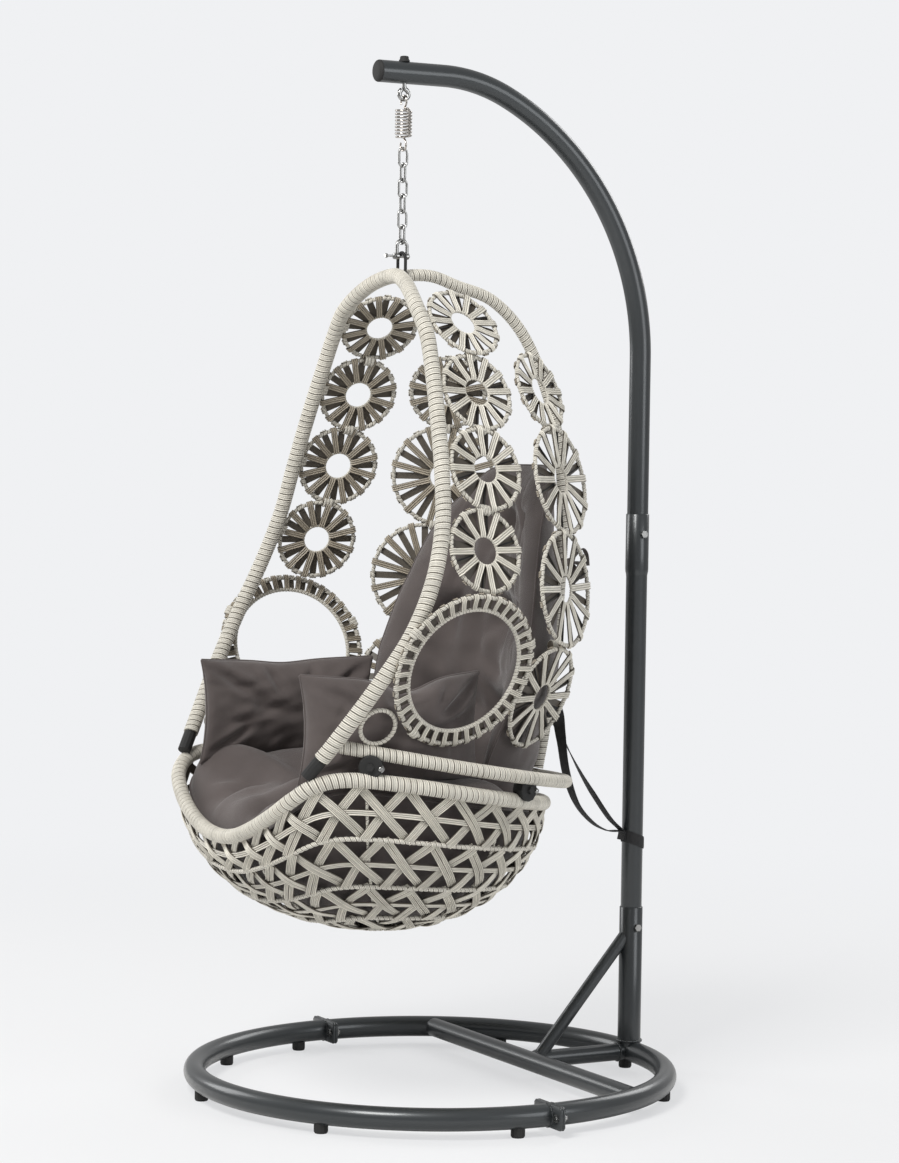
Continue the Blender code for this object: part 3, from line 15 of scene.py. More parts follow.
import bpy
import numpy as np
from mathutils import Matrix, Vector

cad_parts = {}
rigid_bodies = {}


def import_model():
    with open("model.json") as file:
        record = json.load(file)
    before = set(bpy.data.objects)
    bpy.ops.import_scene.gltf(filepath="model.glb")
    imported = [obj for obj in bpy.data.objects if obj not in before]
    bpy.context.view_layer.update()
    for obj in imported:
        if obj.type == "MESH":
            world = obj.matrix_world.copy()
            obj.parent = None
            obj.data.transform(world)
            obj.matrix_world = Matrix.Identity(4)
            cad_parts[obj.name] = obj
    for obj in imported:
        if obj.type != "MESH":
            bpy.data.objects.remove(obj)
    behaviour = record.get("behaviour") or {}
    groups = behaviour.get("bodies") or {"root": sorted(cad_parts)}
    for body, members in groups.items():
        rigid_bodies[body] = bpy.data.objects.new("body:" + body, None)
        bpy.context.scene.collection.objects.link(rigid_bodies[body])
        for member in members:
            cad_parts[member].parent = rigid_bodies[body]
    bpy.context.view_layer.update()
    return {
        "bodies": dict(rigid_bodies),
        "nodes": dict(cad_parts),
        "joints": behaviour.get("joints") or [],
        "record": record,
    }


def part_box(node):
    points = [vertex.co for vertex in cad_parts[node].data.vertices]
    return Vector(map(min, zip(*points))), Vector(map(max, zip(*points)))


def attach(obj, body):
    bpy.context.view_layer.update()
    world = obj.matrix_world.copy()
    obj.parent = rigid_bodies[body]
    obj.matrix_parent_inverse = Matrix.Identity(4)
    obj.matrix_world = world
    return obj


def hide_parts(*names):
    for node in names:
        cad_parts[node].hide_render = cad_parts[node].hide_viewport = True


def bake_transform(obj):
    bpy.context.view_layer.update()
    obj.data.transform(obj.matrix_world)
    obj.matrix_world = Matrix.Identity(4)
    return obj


LOG = logging.getLogger("egg_chair")
Array = np.ndarray
Triple = tuple[float, float, float]
TAU = 2 * math.pi
SHARP = math.radians(48)


class Side(Enum):
    """Which half of the chair a piece is on."""
    RIGHT = 1
    LEFT = -1


class Rides(Enum):
    """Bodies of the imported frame."""
    STAND = "stand"
    SPRING = "spring"
    UPPER_LINKS = "upper_links"
    CHAIN = "chain"
    CHAIR = "chair"


# --- curves and surfaces ---
def unit(vectors: Array) -> Array:
    """Vectors of length one, in the same directions."""
    return vectors / np.maximum(np.linalg.norm(vectors, axis=-1, keepdims=True), 1e-12)


def spline(points: Iterable, spacing: float, closed: bool = False) -> Array:
    """Even path through points.

    Each span is the cubic whose end slopes are half the step between its neighbours; the
    whole is then read off at equal lengths.

    Args:
        points: Points that the path passes through.
        spacing: Distance between two points of the result.
        closed: Whether the last point runs on to the first.

    Returns:
        Points of the path, one row each.
    """
    pts = np.asarray(points, float)
    if closed:
        ring = np.vstack([pts[-1:], pts, pts[:2]])
    else:
        ring = np.vstack([2 * pts[0] - pts[1], pts, 2 * pts[-1] - pts[-2]])
    a, b, c, d = (ring[k:len(ring) - 3 + k][:, None] for k in range(4))
    t = (np.arange(16) / 16)[None, :, None]
    dense = 0.5 * (2 * b + (c - a) * t + (2 * a - 5 * b + 4 * c - d) * t ** 2
                   + (3 * b - 3 * c + d - a) * t ** 3)
    dense = np.vstack([dense.reshape(-1, 3), ring[-2:-1]])
    return even(dense, spacing, closed)


def even(path: Array, spacing: float, closed: bool = False) -> Array:
    """The same path, read off at equal lengths near the spacing.

    Args:
        path: Points, one a row.
        spacing: Distance wanted between two points.
        closed: Whether the path ends where it starts; that point is then left out.

    Returns:
        Points of the path, one a row.
    """
    along = lengths(path)
    count = max(2, round(along[-1] / spacing))
    want = np.linspace(0, along[-1], count + 1)
    out = np.stack([np.interp(want, along, path[:, k]) for k in range(3)], 1)
    return out[:-1] if closed else out


def lengths(path: Array) -> Array:
    """Length along the path at each of its points."""
    return np.r_[0, np.cumsum(np.linalg.norm(np.diff(path, axis=0), axis=1))]


def aside(axis: Array) -> Array:
    """A direction square to an axis."""
    return unit(np.cross(axis, (0.0, 0.0, 1.0) if abs(axis[2]) < 0.9 else (1.0, 0.0, 0.0)))


def cross_frame(path: Array, reference: Sequence, closed: bool = False) -> tuple[Array, Array]:
    """Two directions across a path; the first is square to the reference direction.

    Args:
        path: Points, one a row.
        reference: Direction the path never runs along.
        closed: Whether the path is a loop.

    Returns:
        Both directions at each point.
    """
    if closed:
        tangent = unit(np.roll(path, -1, 0) - np.roll(path, 1, 0))
    else:
        tangent = unit(np.gradient(path, axis=0))
    first = unit(np.cross(np.broadcast_to(np.asarray(reference, float), path.shape), tangent))
    return first, np.cross(tangent, first)


def quads(rows: int, columns: int, wrap_rows: bool = False, wrap_columns: bool = True) -> Array:
    """Faces of a grid, as four point numbers a row, for points in row-major order.

    Args:
        rows: Rows of points.
        columns: Points in a row.
        wrap_rows: Whether the last row joins the first.
        wrap_columns: Whether each row is a loop.

    Returns:
        Corner numbers, one face a row.
    """
    i = np.arange(rows if wrap_rows else rows - 1)[:, None]
    j = np.arange(columns if wrap_columns else columns - 1)[None, :]
    i2, j2 = (i + 1) % rows, (j + 1) % columns
    corners = [i * columns + j, i * columns + j2, i2 * columns + j2, i2 * columns + j]
    return np.stack([np.broadcast_to(c, (i.shape[0], j.shape[1])).ravel() for c in corners], 1)


class Body:
    """A piece being made: patches of points with their faces and marks."""

    def __init__(self) -> None:
        """Start with nothing."""
        self.points: list[Array] = []
        self.marks: list[Array] = []
        self.faces: list = []
        self.count = 0

    def add(self, points: Array, faces: Array, caps: Iterable = (), marks: Array | None = None
            ) -> "Body":
        """Add one patch; faces and caps count from the patch's first point.

        Args:
            points: Places of its points.
            faces: Corner numbers, one face a row.
            caps: Faces of any other number of corners.
            marks: Mark of each point.

        Returns:
            The body itself.
        """
        flat = np.asarray(points, float).reshape(-1, 3)
        self.faces += (np.asarray(faces) + self.count).tolist()
        self.faces += [[self.count + int(k) for k in cap] for cap in caps]
        self.points.append(flat)
        self.marks.append(np.zeros_like(flat) if marks is None
                          else np.asarray(marks, float).reshape(-1, 3))
        self.count += len(flat)
        return self

    def join(self, other: "Body") -> "Body":
        """Add all the patches of another piece."""
        return self.add(np.vstack(other.points), np.empty((0, 4), int), other.faces,
                        np.vstack(other.marks))

    def flipped(self, side: Side) -> "Body":
        """The same piece on the given side, for one that was made on the right.

        Args:
            side: Side that the piece is for.

        Returns:
            The piece.
        """
        if side is Side.RIGHT:
            return self
        out = Body()
        out.points = [p * (-1, 1, 1) for p in self.points]
        out.marks, out.count = self.marks, self.count
        out.faces = [face[::-1] for face in self.faces]
        return out

    def placed(self, name: str, finish: "Finish", rides: Rides | None, covers: Sequence[str] = ()
               ) -> bpy.types.Object:
        """Make the object, dress it, set it on its body and hide the solids it stands for.

        Args:
            name: Name of the piece.
            finish: What it is dressed in.
            rides: Body that it follows, or None for one that is left without a body.
            covers: Nodes that it stands for.

        Returns:
            The object.
        """
        mesh = bpy.data.meshes.new(name)
        mesh.from_pydata(np.vstack(self.points).tolist(), [], self.faces)
        mesh.update()
        mesh.polygons.foreach_set("use_smooth", np.ones(len(mesh.polygons), bool))
        mesh.set_sharp_from_angle(angle=SHARP)
        mark = mesh.attributes.new("mark", 'FLOAT_VECTOR', 'POINT')
        mark.data.foreach_set("vector", np.vstack(self.marks).ravel().astype(np.float32))
        obj = bpy.data.objects.new(name, mesh)
        bpy.context.collection.objects.link(obj)
        mesh.materials.append(finish.material())
        if covers:
            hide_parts(*covers)
        if rides is not None:
            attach(obj, rides.value)
        LOG.info("%s: %d faces", name, len(mesh.polygons))
        return obj


def swept(path: Array, radius: float | Array, reference: Sequence, sides: int = 24,
          closed: bool = False, marks: Array | None = None) -> Body:
    """Round piece along a path: each point lies at path + r (cos a * first + sin a * second).

    Args:
        path: Middle line.
        radius: One radius, one for each point, or one for each point and side.
        reference: Direction or directions that the path never runs along.
        sides: Points round the piece.
        closed: Whether the path is a loop.
        marks: Mark of each point of the surface.

    Returns:
        The body, its open ends capped.
    """
    first, second = cross_frame(path, reference, closed)
    turn = np.arange(sides) * TAU / sides
    size = np.asarray(radius, float)
    size = size.reshape(size.shape + (1,) * (2 - size.ndim)) * np.ones((len(path), sides))
    points = path[:, None] + size[..., None] * (np.cos(turn)[:, None] * first[:, None]
                                                + np.sin(turn)[:, None] * second[:, None])
    last = (len(path) - 1) * sides
    caps = [] if closed else [range(sides - 1, -1, -1), range(last, last + sides)]
    return Body().add(points, quads(len(path), sides, wrap_rows=closed), caps, marks)


def lathed(base: Sequence, axis: Sequence, profile: Sequence, sides: int = 40) -> Body:
    """Turned piece: each (height, radius) pair of the profile goes round the axis.

    Args:
        base: Place of height 0.
        axis: Direction of the heights.
        profile: Height and radius pairs.
        sides: Points round the piece.

    Returns:
        The piece, both ends capped.
    """
    axis = unit(np.asarray(axis, float))
    side = aside(axis)
    other = np.cross(axis, side)
    rows = np.asarray(profile, float)
    turn = np.arange(sides) * TAU / sides
    ring = np.cos(turn)[:, None] * side + np.sin(turn)[:, None] * other
    points = np.asarray(base, float) + rows[:, None, :1] * axis + rows[:, None, 1:] * ring
    last = (len(rows) - 1) * sides
    return Body().add(points, quads(len(rows), sides),
                      [range(sides - 1, -1, -1), range(last, last + sides)])


# --- shader sockets ---
class Value:
    """A number socket of a node tree that can be used in sums."""

    def __init__(self, shop: "Shop", socket: bpy.types.NodeSocket) -> None:
        """Keep the tree's maker and the socket."""
        self.shop, self.socket = shop, socket

    def _sum(self, operation: str, *terms: object) -> "Value":
        """Math node of the operation on the terms."""
        return self.shop.value("ShaderNodeMath", dict(operation=operation),
                               dict(enumerate(terms)))

    def __add__(self, other: object) -> "Value":
        """Self plus other."""
        return self._sum("ADD", self, other)

    def __sub__(self, other: object) -> "Value":
        """Self less other."""
        return self._sum("SUBTRACT", self, other)

    def __rsub__(self, other: object) -> "Value":
        """Other less self."""
        return self._sum("SUBTRACT", other, self)

    def __mul__(self, other: object) -> "Value":
        """Self times other."""
        return self._sum("MULTIPLY", self, other)

    def __pow__(self, other: object) -> "Value":
        """Self to the power other."""
        return self._sum("POWER", self, other)

    __radd__, __rmul__ = __add__, __mul__

    def sine(self) -> "Value":
        """Sine of the value."""
        return self._sum("SINE", self)

    def size(self) -> "Value":
        """Value without its sign."""
        return self._sum("ABSOLUTE", self)

    def clear(self, low: float, high: float) -> "Value":
        """0 below low, 1 above high, smooth between."""
        return self.shop.value("ShaderNodeMapRange", dict(interpolation_type='SMOOTHSTEP'),
                               {"Value": self, "From Min": low, "From Max": high})


class Shop:
    """Makes the nodes of one material, or of the world."""

    def __init__(self, made: bpy.types.ID) -> None:
        """Keep what is being made, its node tree and its shader.

        Args:
            made: Material or world.
        """
        self.made, made.use_nodes = made, True
        self.tree = made.node_tree
        self.shader = self.tree.nodes.get("Principled BSDF")

    def node(self, kind: str, settings: dict | None = None, sockets: dict | None = None
             ) -> bpy.types.Node:
        """A node of that kind, its settings put first and then its sockets' values or links.

        Args:
            kind: Type of the node.
            settings: Its settings by name.
            sockets: Values or links of its inputs.

        Returns:
            The node.
        """
        made = self.tree.nodes.new(kind)
        for key, setting in (settings or {}).items():
            setattr(made, key, setting)
        for key, term in (sockets or {}).items():
            self.plug(made.inputs[key], term)
        return made

    def plug(self, socket: bpy.types.NodeSocket, term: object) -> None:
        """Link a socket or value to the input, or set it.

        Args:
            socket: Input.
            term: What it gets.
        """
        if isinstance(term, Value):
            self.tree.links.new(term.socket, socket)
        elif isinstance(term, bpy.types.NodeSocket):
            self.tree.links.new(term, socket)
        else:
            socket.default_value = term

    def value(self, kind: str, settings: dict | None = None, sockets: dict | None = None,
              output: object = 0) -> Value:
        """A node's number output."""
        return Value(self, self.node(kind, settings, sockets).outputs[output])

    def place(self) -> bpy.types.NodeSocket:
        """Object coordinates."""
        return self.node("ShaderNodeTexCoord").outputs["Object"]

    def mark(self) -> tuple[Value, Value, Value]:
        """The three numbers of the piece's mark.

        Returns:
            The three.
        """
        raw = self.node("ShaderNodeAttribute", dict(attribute_name="mark"))
        parts = self.node("ShaderNodeSeparateXYZ", None, {0: raw.outputs["Vector"]})
        return tuple(Value(self, parts.outputs[k]) for k in range(3))

    def noise(self, scale: float, detail: float = 2.0, stretch: Triple = (1, 1, 1),
              at: object = None) -> Value:
        """Smooth noise of about 0 to 1, at object coordinates unless told where.

        Args:
            scale: Waves to a metre, about.
            detail: Octaves.
            stretch: How the place is scaled along x, y and z.
            at: Place to read.

        Returns:
            The noise.
        """
        where = self.node("ShaderNodeMapping", None,
                          {"Vector": at or self.place(), "Scale": stretch}).outputs[0]
        return self.value("ShaderNodeTexNoise", None,
                          {"Vector": where, "Scale": scale, "Detail": detail}, "Fac")

    def blend(self, amount: object, one: object, two: object) -> bpy.types.NodeSocket:
        """Mix of two colours, each three numbers or a link.

        Args:
            amount: 0 for one, 1 for two.
            one: First colour.
            two: Second colour.

        Returns:
            The mix's colour.
        """
        mix = self.node("ShaderNodeMix", dict(data_type='RGBA'), {0: amount})
        for socket, colour in zip(mix.inputs[6:8], (one, two)):
            self.plug(socket, (*colour, 1.0) if isinstance(colour, tuple) else colour)
        return mix.outputs[2]

    def bump(self, height: Value, depth: float, strength: float = 1.0) -> None:
        """Raise the surface by height times depth.

        Args:
            height: What the relief follows.
            depth: Height of 1, in metres.
            strength: Share of the relief that shows.
        """
        made = self.node("ShaderNodeBump", None,
                         {"Height": height, "Distance": depth, "Strength": strength})
        self.plug(self.shader.inputs["Normal"], made.outputs[0])

    def paint(self, **inputs: object) -> bpy.types.Material:
        """Set the shader's inputs, words joined by underscores, and hand the material over.

        Args:
            inputs: Values or links of the shader's inputs.

        Returns:
            The material.
        """
        for key, term in inputs.items():
            self.plug(self.shader.inputs[key.replace("_", " ")], term)
        return self.made


# --- finishes ---
@dataclass(frozen=True)
class Finish:
    """A finish by name, with the record's slot that it belongs to."""
    name: str = "plain"
    slot: str = "powder_coat"

    def material(self) -> bpy.types.Material:
        """The finish's material, made once."""
        found = bpy.data.materials.get(self.name)
        return found if found else self.build(Shop(bpy.data.materials.new(self.name)))

    def build(self, shop: Shop) -> bpy.types.Material:
        """Put the finish together."""
        return shop.paint(Roughness=0.5)


@dataclass(frozen=True)
class PowderCoat(Finish):
    """Dark grey powder coat with a faint orange peel."""
    name: str = "powder_coat_grey"
    slot: str = "powder_coat"
    dark: Triple = (0.030, 0.034, 0.037)
    light: Triple = (0.042, 0.047, 0.050)

    def build(self, shop: Shop) -> bpy.types.Material:
        """Slow tone change, fine peel, satin gloss.

        Args:
            shop: Maker of the material's nodes.

        Returns:
            The material.
        """
        peel = shop.noise(620.0, 2.0)
        cloud = shop.noise(6.0, 3.0)
        shop.bump(peel, 0.00012, 0.5)
        return shop.paint(Base_Color=shop.blend(cloud, self.dark, self.light), Metallic=0.35,
                          Roughness=0.26 + 0.12 * cloud, Coat_Weight=0.35, Coat_Roughness=0.16)


@dataclass(frozen=True)
class Plated(Finish):
    """Bright plated steel with a little smear and dull spots."""
    name: str = "zinc_plate"
    slot: str = "zinc_steel"
    colour: Triple = (0.36, 0.36, 0.355)
    dull: Triple = (0.20, 0.20, 0.195)
    gloss: float = 0.18

    def build(self, shop: Shop) -> bpy.types.Material:
        """Metal whose dull patches are rougher.

        Args:
            shop: Maker of the material's nodes.

        Returns:
            The material.
        """
        patch = shop.noise(90.0, 4.0).clear(0.45, 0.75)
        shop.bump(shop.noise(500.0, 2.0), 0.00005, 0.4)
        return shop.paint(Base_Color=shop.blend(patch, self.colour, self.dull), Metallic=1.0,
                          Roughness=self.gloss + 0.2 * patch)


@dataclass(frozen=True)
class Moulded(Finish):
    """Black moulded plastic or rubber."""
    name: str = "black_plastic"
    slot: str = "black_plastic"
    colour: Triple = (0.012, 0.012, 0.013)
    roughness: float = 0.38

    def build(self, shop: Shop) -> bpy.types.Material:
        """Fine spark-worn grain.

        Args:
            shop: Maker of the material's nodes.

        Returns:
            The material.
        """
        grain = shop.noise(900.0, 3.0)
        shop.bump(grain, 0.0001, 0.5)
        pale = tuple(c * 1.9 + 0.004 for c in self.colour)
        return shop.paint(Base_Color=shop.blend(grain.clear(0.5, 0.9), self.colour, pale),
                          Roughness=self.roughness + 0.15 * grain)


@dataclass(frozen=True)
class Strand(Finish):
    """Resin strand of three half-round ridges, cream with grey-beige streaks along it.

    The mark holds the cosine and sine of the place across the strand, as an angle that goes
    once round from edge to edge, and the length along it.  Its furrows and the seams at its
    edges are darkened with painted shade.
    """
    name: str = "resin_strand"
    slot: str = "wicker"
    cream: Triple = (0.800, 0.765, 0.675)
    beige: Triple = (0.420, 0.385, 0.320)
    streak: Triple = (0.440, 0.425, 0.380)
    # Painted shade colour laid into the furrows and seams.
    furrow_shade: Triple = (0.075, 0.062, 0.046)

    def build(self, shop: Shop) -> bpy.types.Material:
        """Streaks follow the strand; furrows are where the cosine of three angles is 1.
        Furrows and the seams at the strand's edges get painted shade.

        Args:
            shop: Maker of the material's nodes.

        Returns:
            The material.
        """
        cosine, sine, along = shop.mark()
        place = shop.node("ShaderNodeCombineXYZ", None,
                          {0: cosine * 2.6, 1: sine * 2.6, 2: along * 24.0}).outputs[0]
        fine = shop.noise(1.5, 3.0, at=place)
        cosine = cosine * ((cosine * cosine + sine * sine) ** -0.5)
        ridge = 0.5 - ((cosine * cosine * cosine) * 4.0 - cosine * 3.0) * 0.5
        # Painted shade: masks of the furrows between the ridges and of the seams at the strand's
        # edges.
        furrow = 1 - ridge.clear(0.02, 0.50)
        seam = cosine.clear(0.55, 0.95)
        middle = 1 - cosine.clear(-0.95, -0.35)
        cloud = shop.noise(26.0, 3.0)
        base = shop.blend(fine.clear(0.44, 0.66), self.cream, self.streak)
        base = shop.blend(cloud.clear(0.52, 0.78) * 0.35, base, self.beige)
        base = shop.blend(middle * 0.45, base, self.streak)
        # Painted shade: furrows and seams darkened.
        base = shop.blend(furrow * 0.50 + seam * 0.48, base, self.furrow_shade)
        shop.bump(fine + ridge * 0.6, 0.0004, 0.55)
        return shop.paint(Base_Color=base, Roughness=0.42 + 0.2 * fine)


@dataclass(frozen=True)
class Cloth(Finish):
    """Taupe woven cover: fine plain weave, soft mottling, a bloom of sheen."""
    name: str = "cushion_cover"
    slot: str = "cushion_fabric"
    dark: Triple = (0.056, 0.045, 0.043)
    light: Triple = (0.104, 0.086, 0.082)

    def build(self, shop: Shop) -> bpy.types.Material:
        """Two sets of threads at right angles, broken up by noise.

        Args:
            shop: Maker of the material's nodes.

        Returns:
            The material.
        """
        place = shop.place()
        parts = shop.node("ShaderNodeSeparateXYZ", None, {0: place})
        x, y, z = (Value(shop, parts.outputs[k]) for k in range(3))
        warp = ((x + y * 0.6) * 5200.0).sine()
        weft = ((z + y * 0.5) * 5200.0).sine()
        thread = (warp * weft) * 0.5 + 0.5
        slub = shop.noise(420.0, 3.0, (1.0, 1.0, 4.0))
        cloud = shop.noise(7.0, 4.0)
        base = shop.blend(cloud.clear(0.25, 0.8), self.dark, self.light)
        base = shop.blend(thread * 0.22 + slub * 0.18, base, (0.125, 0.105, 0.100))
        shop.bump(thread * 0.5 + slub + shop.noise(13.0, 1.5) * 16.0, 0.0005, 0.6)
        return shop.paint(Base_Color=base, Roughness=0.88, Sheen_Weight=0.35,
                          Sheen_Roughness=0.4)


@dataclass(frozen=True)
class Webbing(Finish):
    """Black webbing: ribs across, a selvedge along both edges."""
    name: str = "black_webbing"
    slot: str = "webbing"

    def build(self, shop: Shop) -> bpy.types.Material:
        """Ribs from the mark's along value, herringbone from across.

        Args:
            shop: Maker of the material's nodes.

        Returns:
            The material.
        """
        across, along, _ = shop.mark()
        rib = ((along * 2600.0) + across.size() * 5.0).sine() * 0.5 + 0.5
        shop.bump(rib, 0.0004, 0.7)
        shade = rib * 0.5 + shop.noise(60.0, 3.0) * 0.4
        return shop.paint(Base_Color=shop.blend(shade, (0.007, 0.007, 0.008),
                                               (0.030, 0.030, 0.032)), Roughness=0.78)


COAT, ZINC = PowderCoat(), Plated()
NICKEL = Plated("nickel_plate", "nickel_steel", (0.46, 0.43, 0.40), (0.28, 0.265, 0.245), 0.14)
PLASTIC, RUBBER = Moulded(), Moulded("foot_rubber", "foot_rubber", (0.015, 0.015, 0.015), 0.7)
STRAND, WOUND = Strand(), Strand("wound_strand", "wrapped_frame")
# Painted shade: a darker copy of the strand for the back layers of the wheels, which lie in shadow
# behind the front strands.
SHADED_STRAND = Strand("resin_strand_inner", "wicker", (0.440, 0.385, 0.300), (0.280, 0.235, 0.175),
               (0.300, 0.270, 0.220), (0.050, 0.040, 0.030))
CLOTH, STRAP = Cloth(), Webbing()


# --- surroundings ---
def aim(thing: bpy.types.Object, place: Sequence, across: Array, above: Array) -> None:
    """Put a camera or lamp in the scene; it looks along above x across.

    Args:
        thing: Camera or lamp.
        place: Where it is put.
        across: Direction to its right.
        above: Direction up from it.
    """
    matrix = np.eye(4)
    matrix[:3] = np.stack([across, above, np.cross(across, above), place], 1)
    thing.matrix_world = matrix.T.tolist()
    bpy.context.collection.objects.link(thing)


@dataclass
class Studio:
    """Pale floor and backdrop, soft lamps and the camera."""
    backdrop: Triple = (0.871, 0.879, 0.896)
    camera_place: Triple = (5.24591, -2.85307, 1.22873)
    camera_turn: tuple[float, float, float] = (1.06865, -0.04162, 0.01420)
    focal_pixels: float = 3112.95
    image_height: float = 1163.0
    sensor: float = 36.0
    room_light: float = 0.46
    reach: float = 60.0

    def build(self) -> None:
        """Put everything round the object."""
        self.camera()
        self.world()
        self.floor()
        for name, place, size, power, tone in (
                ("key", (1.9, -3.2, 4.6), 1.8, 225.0, (1.0, 0.99, 0.97)),
                ("fill", (4.6, 2.2, 2.2), 2.4, 60.0, (0.96, 0.98, 1.0)),
                ("left", (-3.8, -2.6, 2.6), 2.2, 70.0, (1.0, 1.0, 1.0)),
                ("back", (-1.5, 4.0, 3.2), 2.0, 50.0, (1.0, 1.0, 1.0))):
            self.lamp(name, place, size, power, tone)

    def camera(self) -> None:
        """Camera at the photograph's viewing angle: yaw, pitch and roll from its turn."""
        yaw, pitch, roll = self.camera_turn
        ahead = np.array((-math.sin(yaw) * math.cos(pitch), math.cos(yaw) * math.cos(pitch),
                          math.sin(pitch)))
        right = np.array((math.cos(yaw), math.sin(yaw), 0.0))
        up = np.cross(right, ahead)
        across = right * math.cos(roll) + up * math.sin(roll)
        above = up * math.cos(roll) - right * math.sin(roll)
        data = bpy.data.cameras.new("camera")
        data.sensor_width, data.sensor_fit = self.sensor, 'AUTO'
        data.lens = self.focal_pixels * self.sensor / self.image_height
        data.clip_end = self.reach
        camera = bpy.data.objects.new("camera", data)
        aim(camera, self.camera_place, across, above)
        bpy.context.scene.camera = camera

    def world(self) -> None:
        """Even white room light; the camera and reflections see the backdrop's colour."""
        world = bpy.data.worlds.new("room")
        bpy.context.scene.world = world
        shop = Shop(world)
        nodes = shop.tree.nodes
        soft = nodes["Background"]
        shop.plug(soft.inputs["Color"], (1.0, 1.0, 1.0, 1.0))
        shop.plug(soft.inputs["Strength"], self.room_light)
        seen = shop.node("ShaderNodeBackground", None, {"Color": (*self.backdrop, 1.0)})
        path = shop.node("ShaderNodeLightPath")
        mix = shop.node("ShaderNodeMixShader", None, {0: path.outputs["Is Camera Ray"],
                                                      1: soft.outputs[0], 2: seen.outputs[0]})
        shop.plug(nodes["World Output"].inputs["Surface"], mix.outputs[0])

    def floor(self) -> None:
        """Wide floor, mostly the backdrop's colour to the camera, that keeps soft shadows."""
        mesh = bpy.data.meshes.new("floor")
        far = self.reach / 2
        mesh.from_pydata([(-far, -far, 0), (far, -far, 0), (far, far, 0), (-far, far, 0)], [],
                         [(0, 1, 2, 3)])
        floor = bpy.data.objects.new("floor", mesh)
        bpy.context.collection.objects.link(floor)
        shop = Shop(bpy.data.materials.new("pale_floor"))
        shop.paint(Base_Color=(0.80, 0.80, 0.80, 1.0), Roughness=0.9)
        glow = shop.node("ShaderNodeEmission", None, {"Color": (*self.backdrop, 1.0)})
        path = shop.node("ShaderNodeLightPath")
        away = shop.value("ShaderNodeVectorMath", dict(operation='LENGTH'), {0: shop.place()},
                          "Value").clear(1.2, 4.0)
        share = Value(shop, path.outputs["Is Camera Ray"]) * (away * 0.35 + 0.65)
        mix = shop.node("ShaderNodeMixShader", None,
                        {0: share, 1: shop.shader.outputs[0], 2: glow.outputs[0]})
        shop.plug(shop.tree.nodes["Material Output"].inputs["Surface"], mix.outputs[0])
        mesh.materials.append(shop.made)

    @staticmethod
    def lamp(name: str, place: Triple, size: float, power: float, tone: Triple) -> None:
        """Square lamp that looks at the chair.

        Args:
            name: Name of the lamp.
            place: Where it hangs.
            size: Side of its square.
            power: Watts.
            tone: Colour.
        """
        data = bpy.data.lights.new(name, 'AREA')
        data.energy, data.size, data.color = power, size, tone
        lamp = bpy.data.objects.new(name, data)
        ahead = unit(np.array((0.0, 0.0, 1.0)) - np.array(place))
        right = unit(np.cross(ahead, (0.0, 0.0, 1.0)))
        aim(lamp, place, right, np.cross(right, ahead))


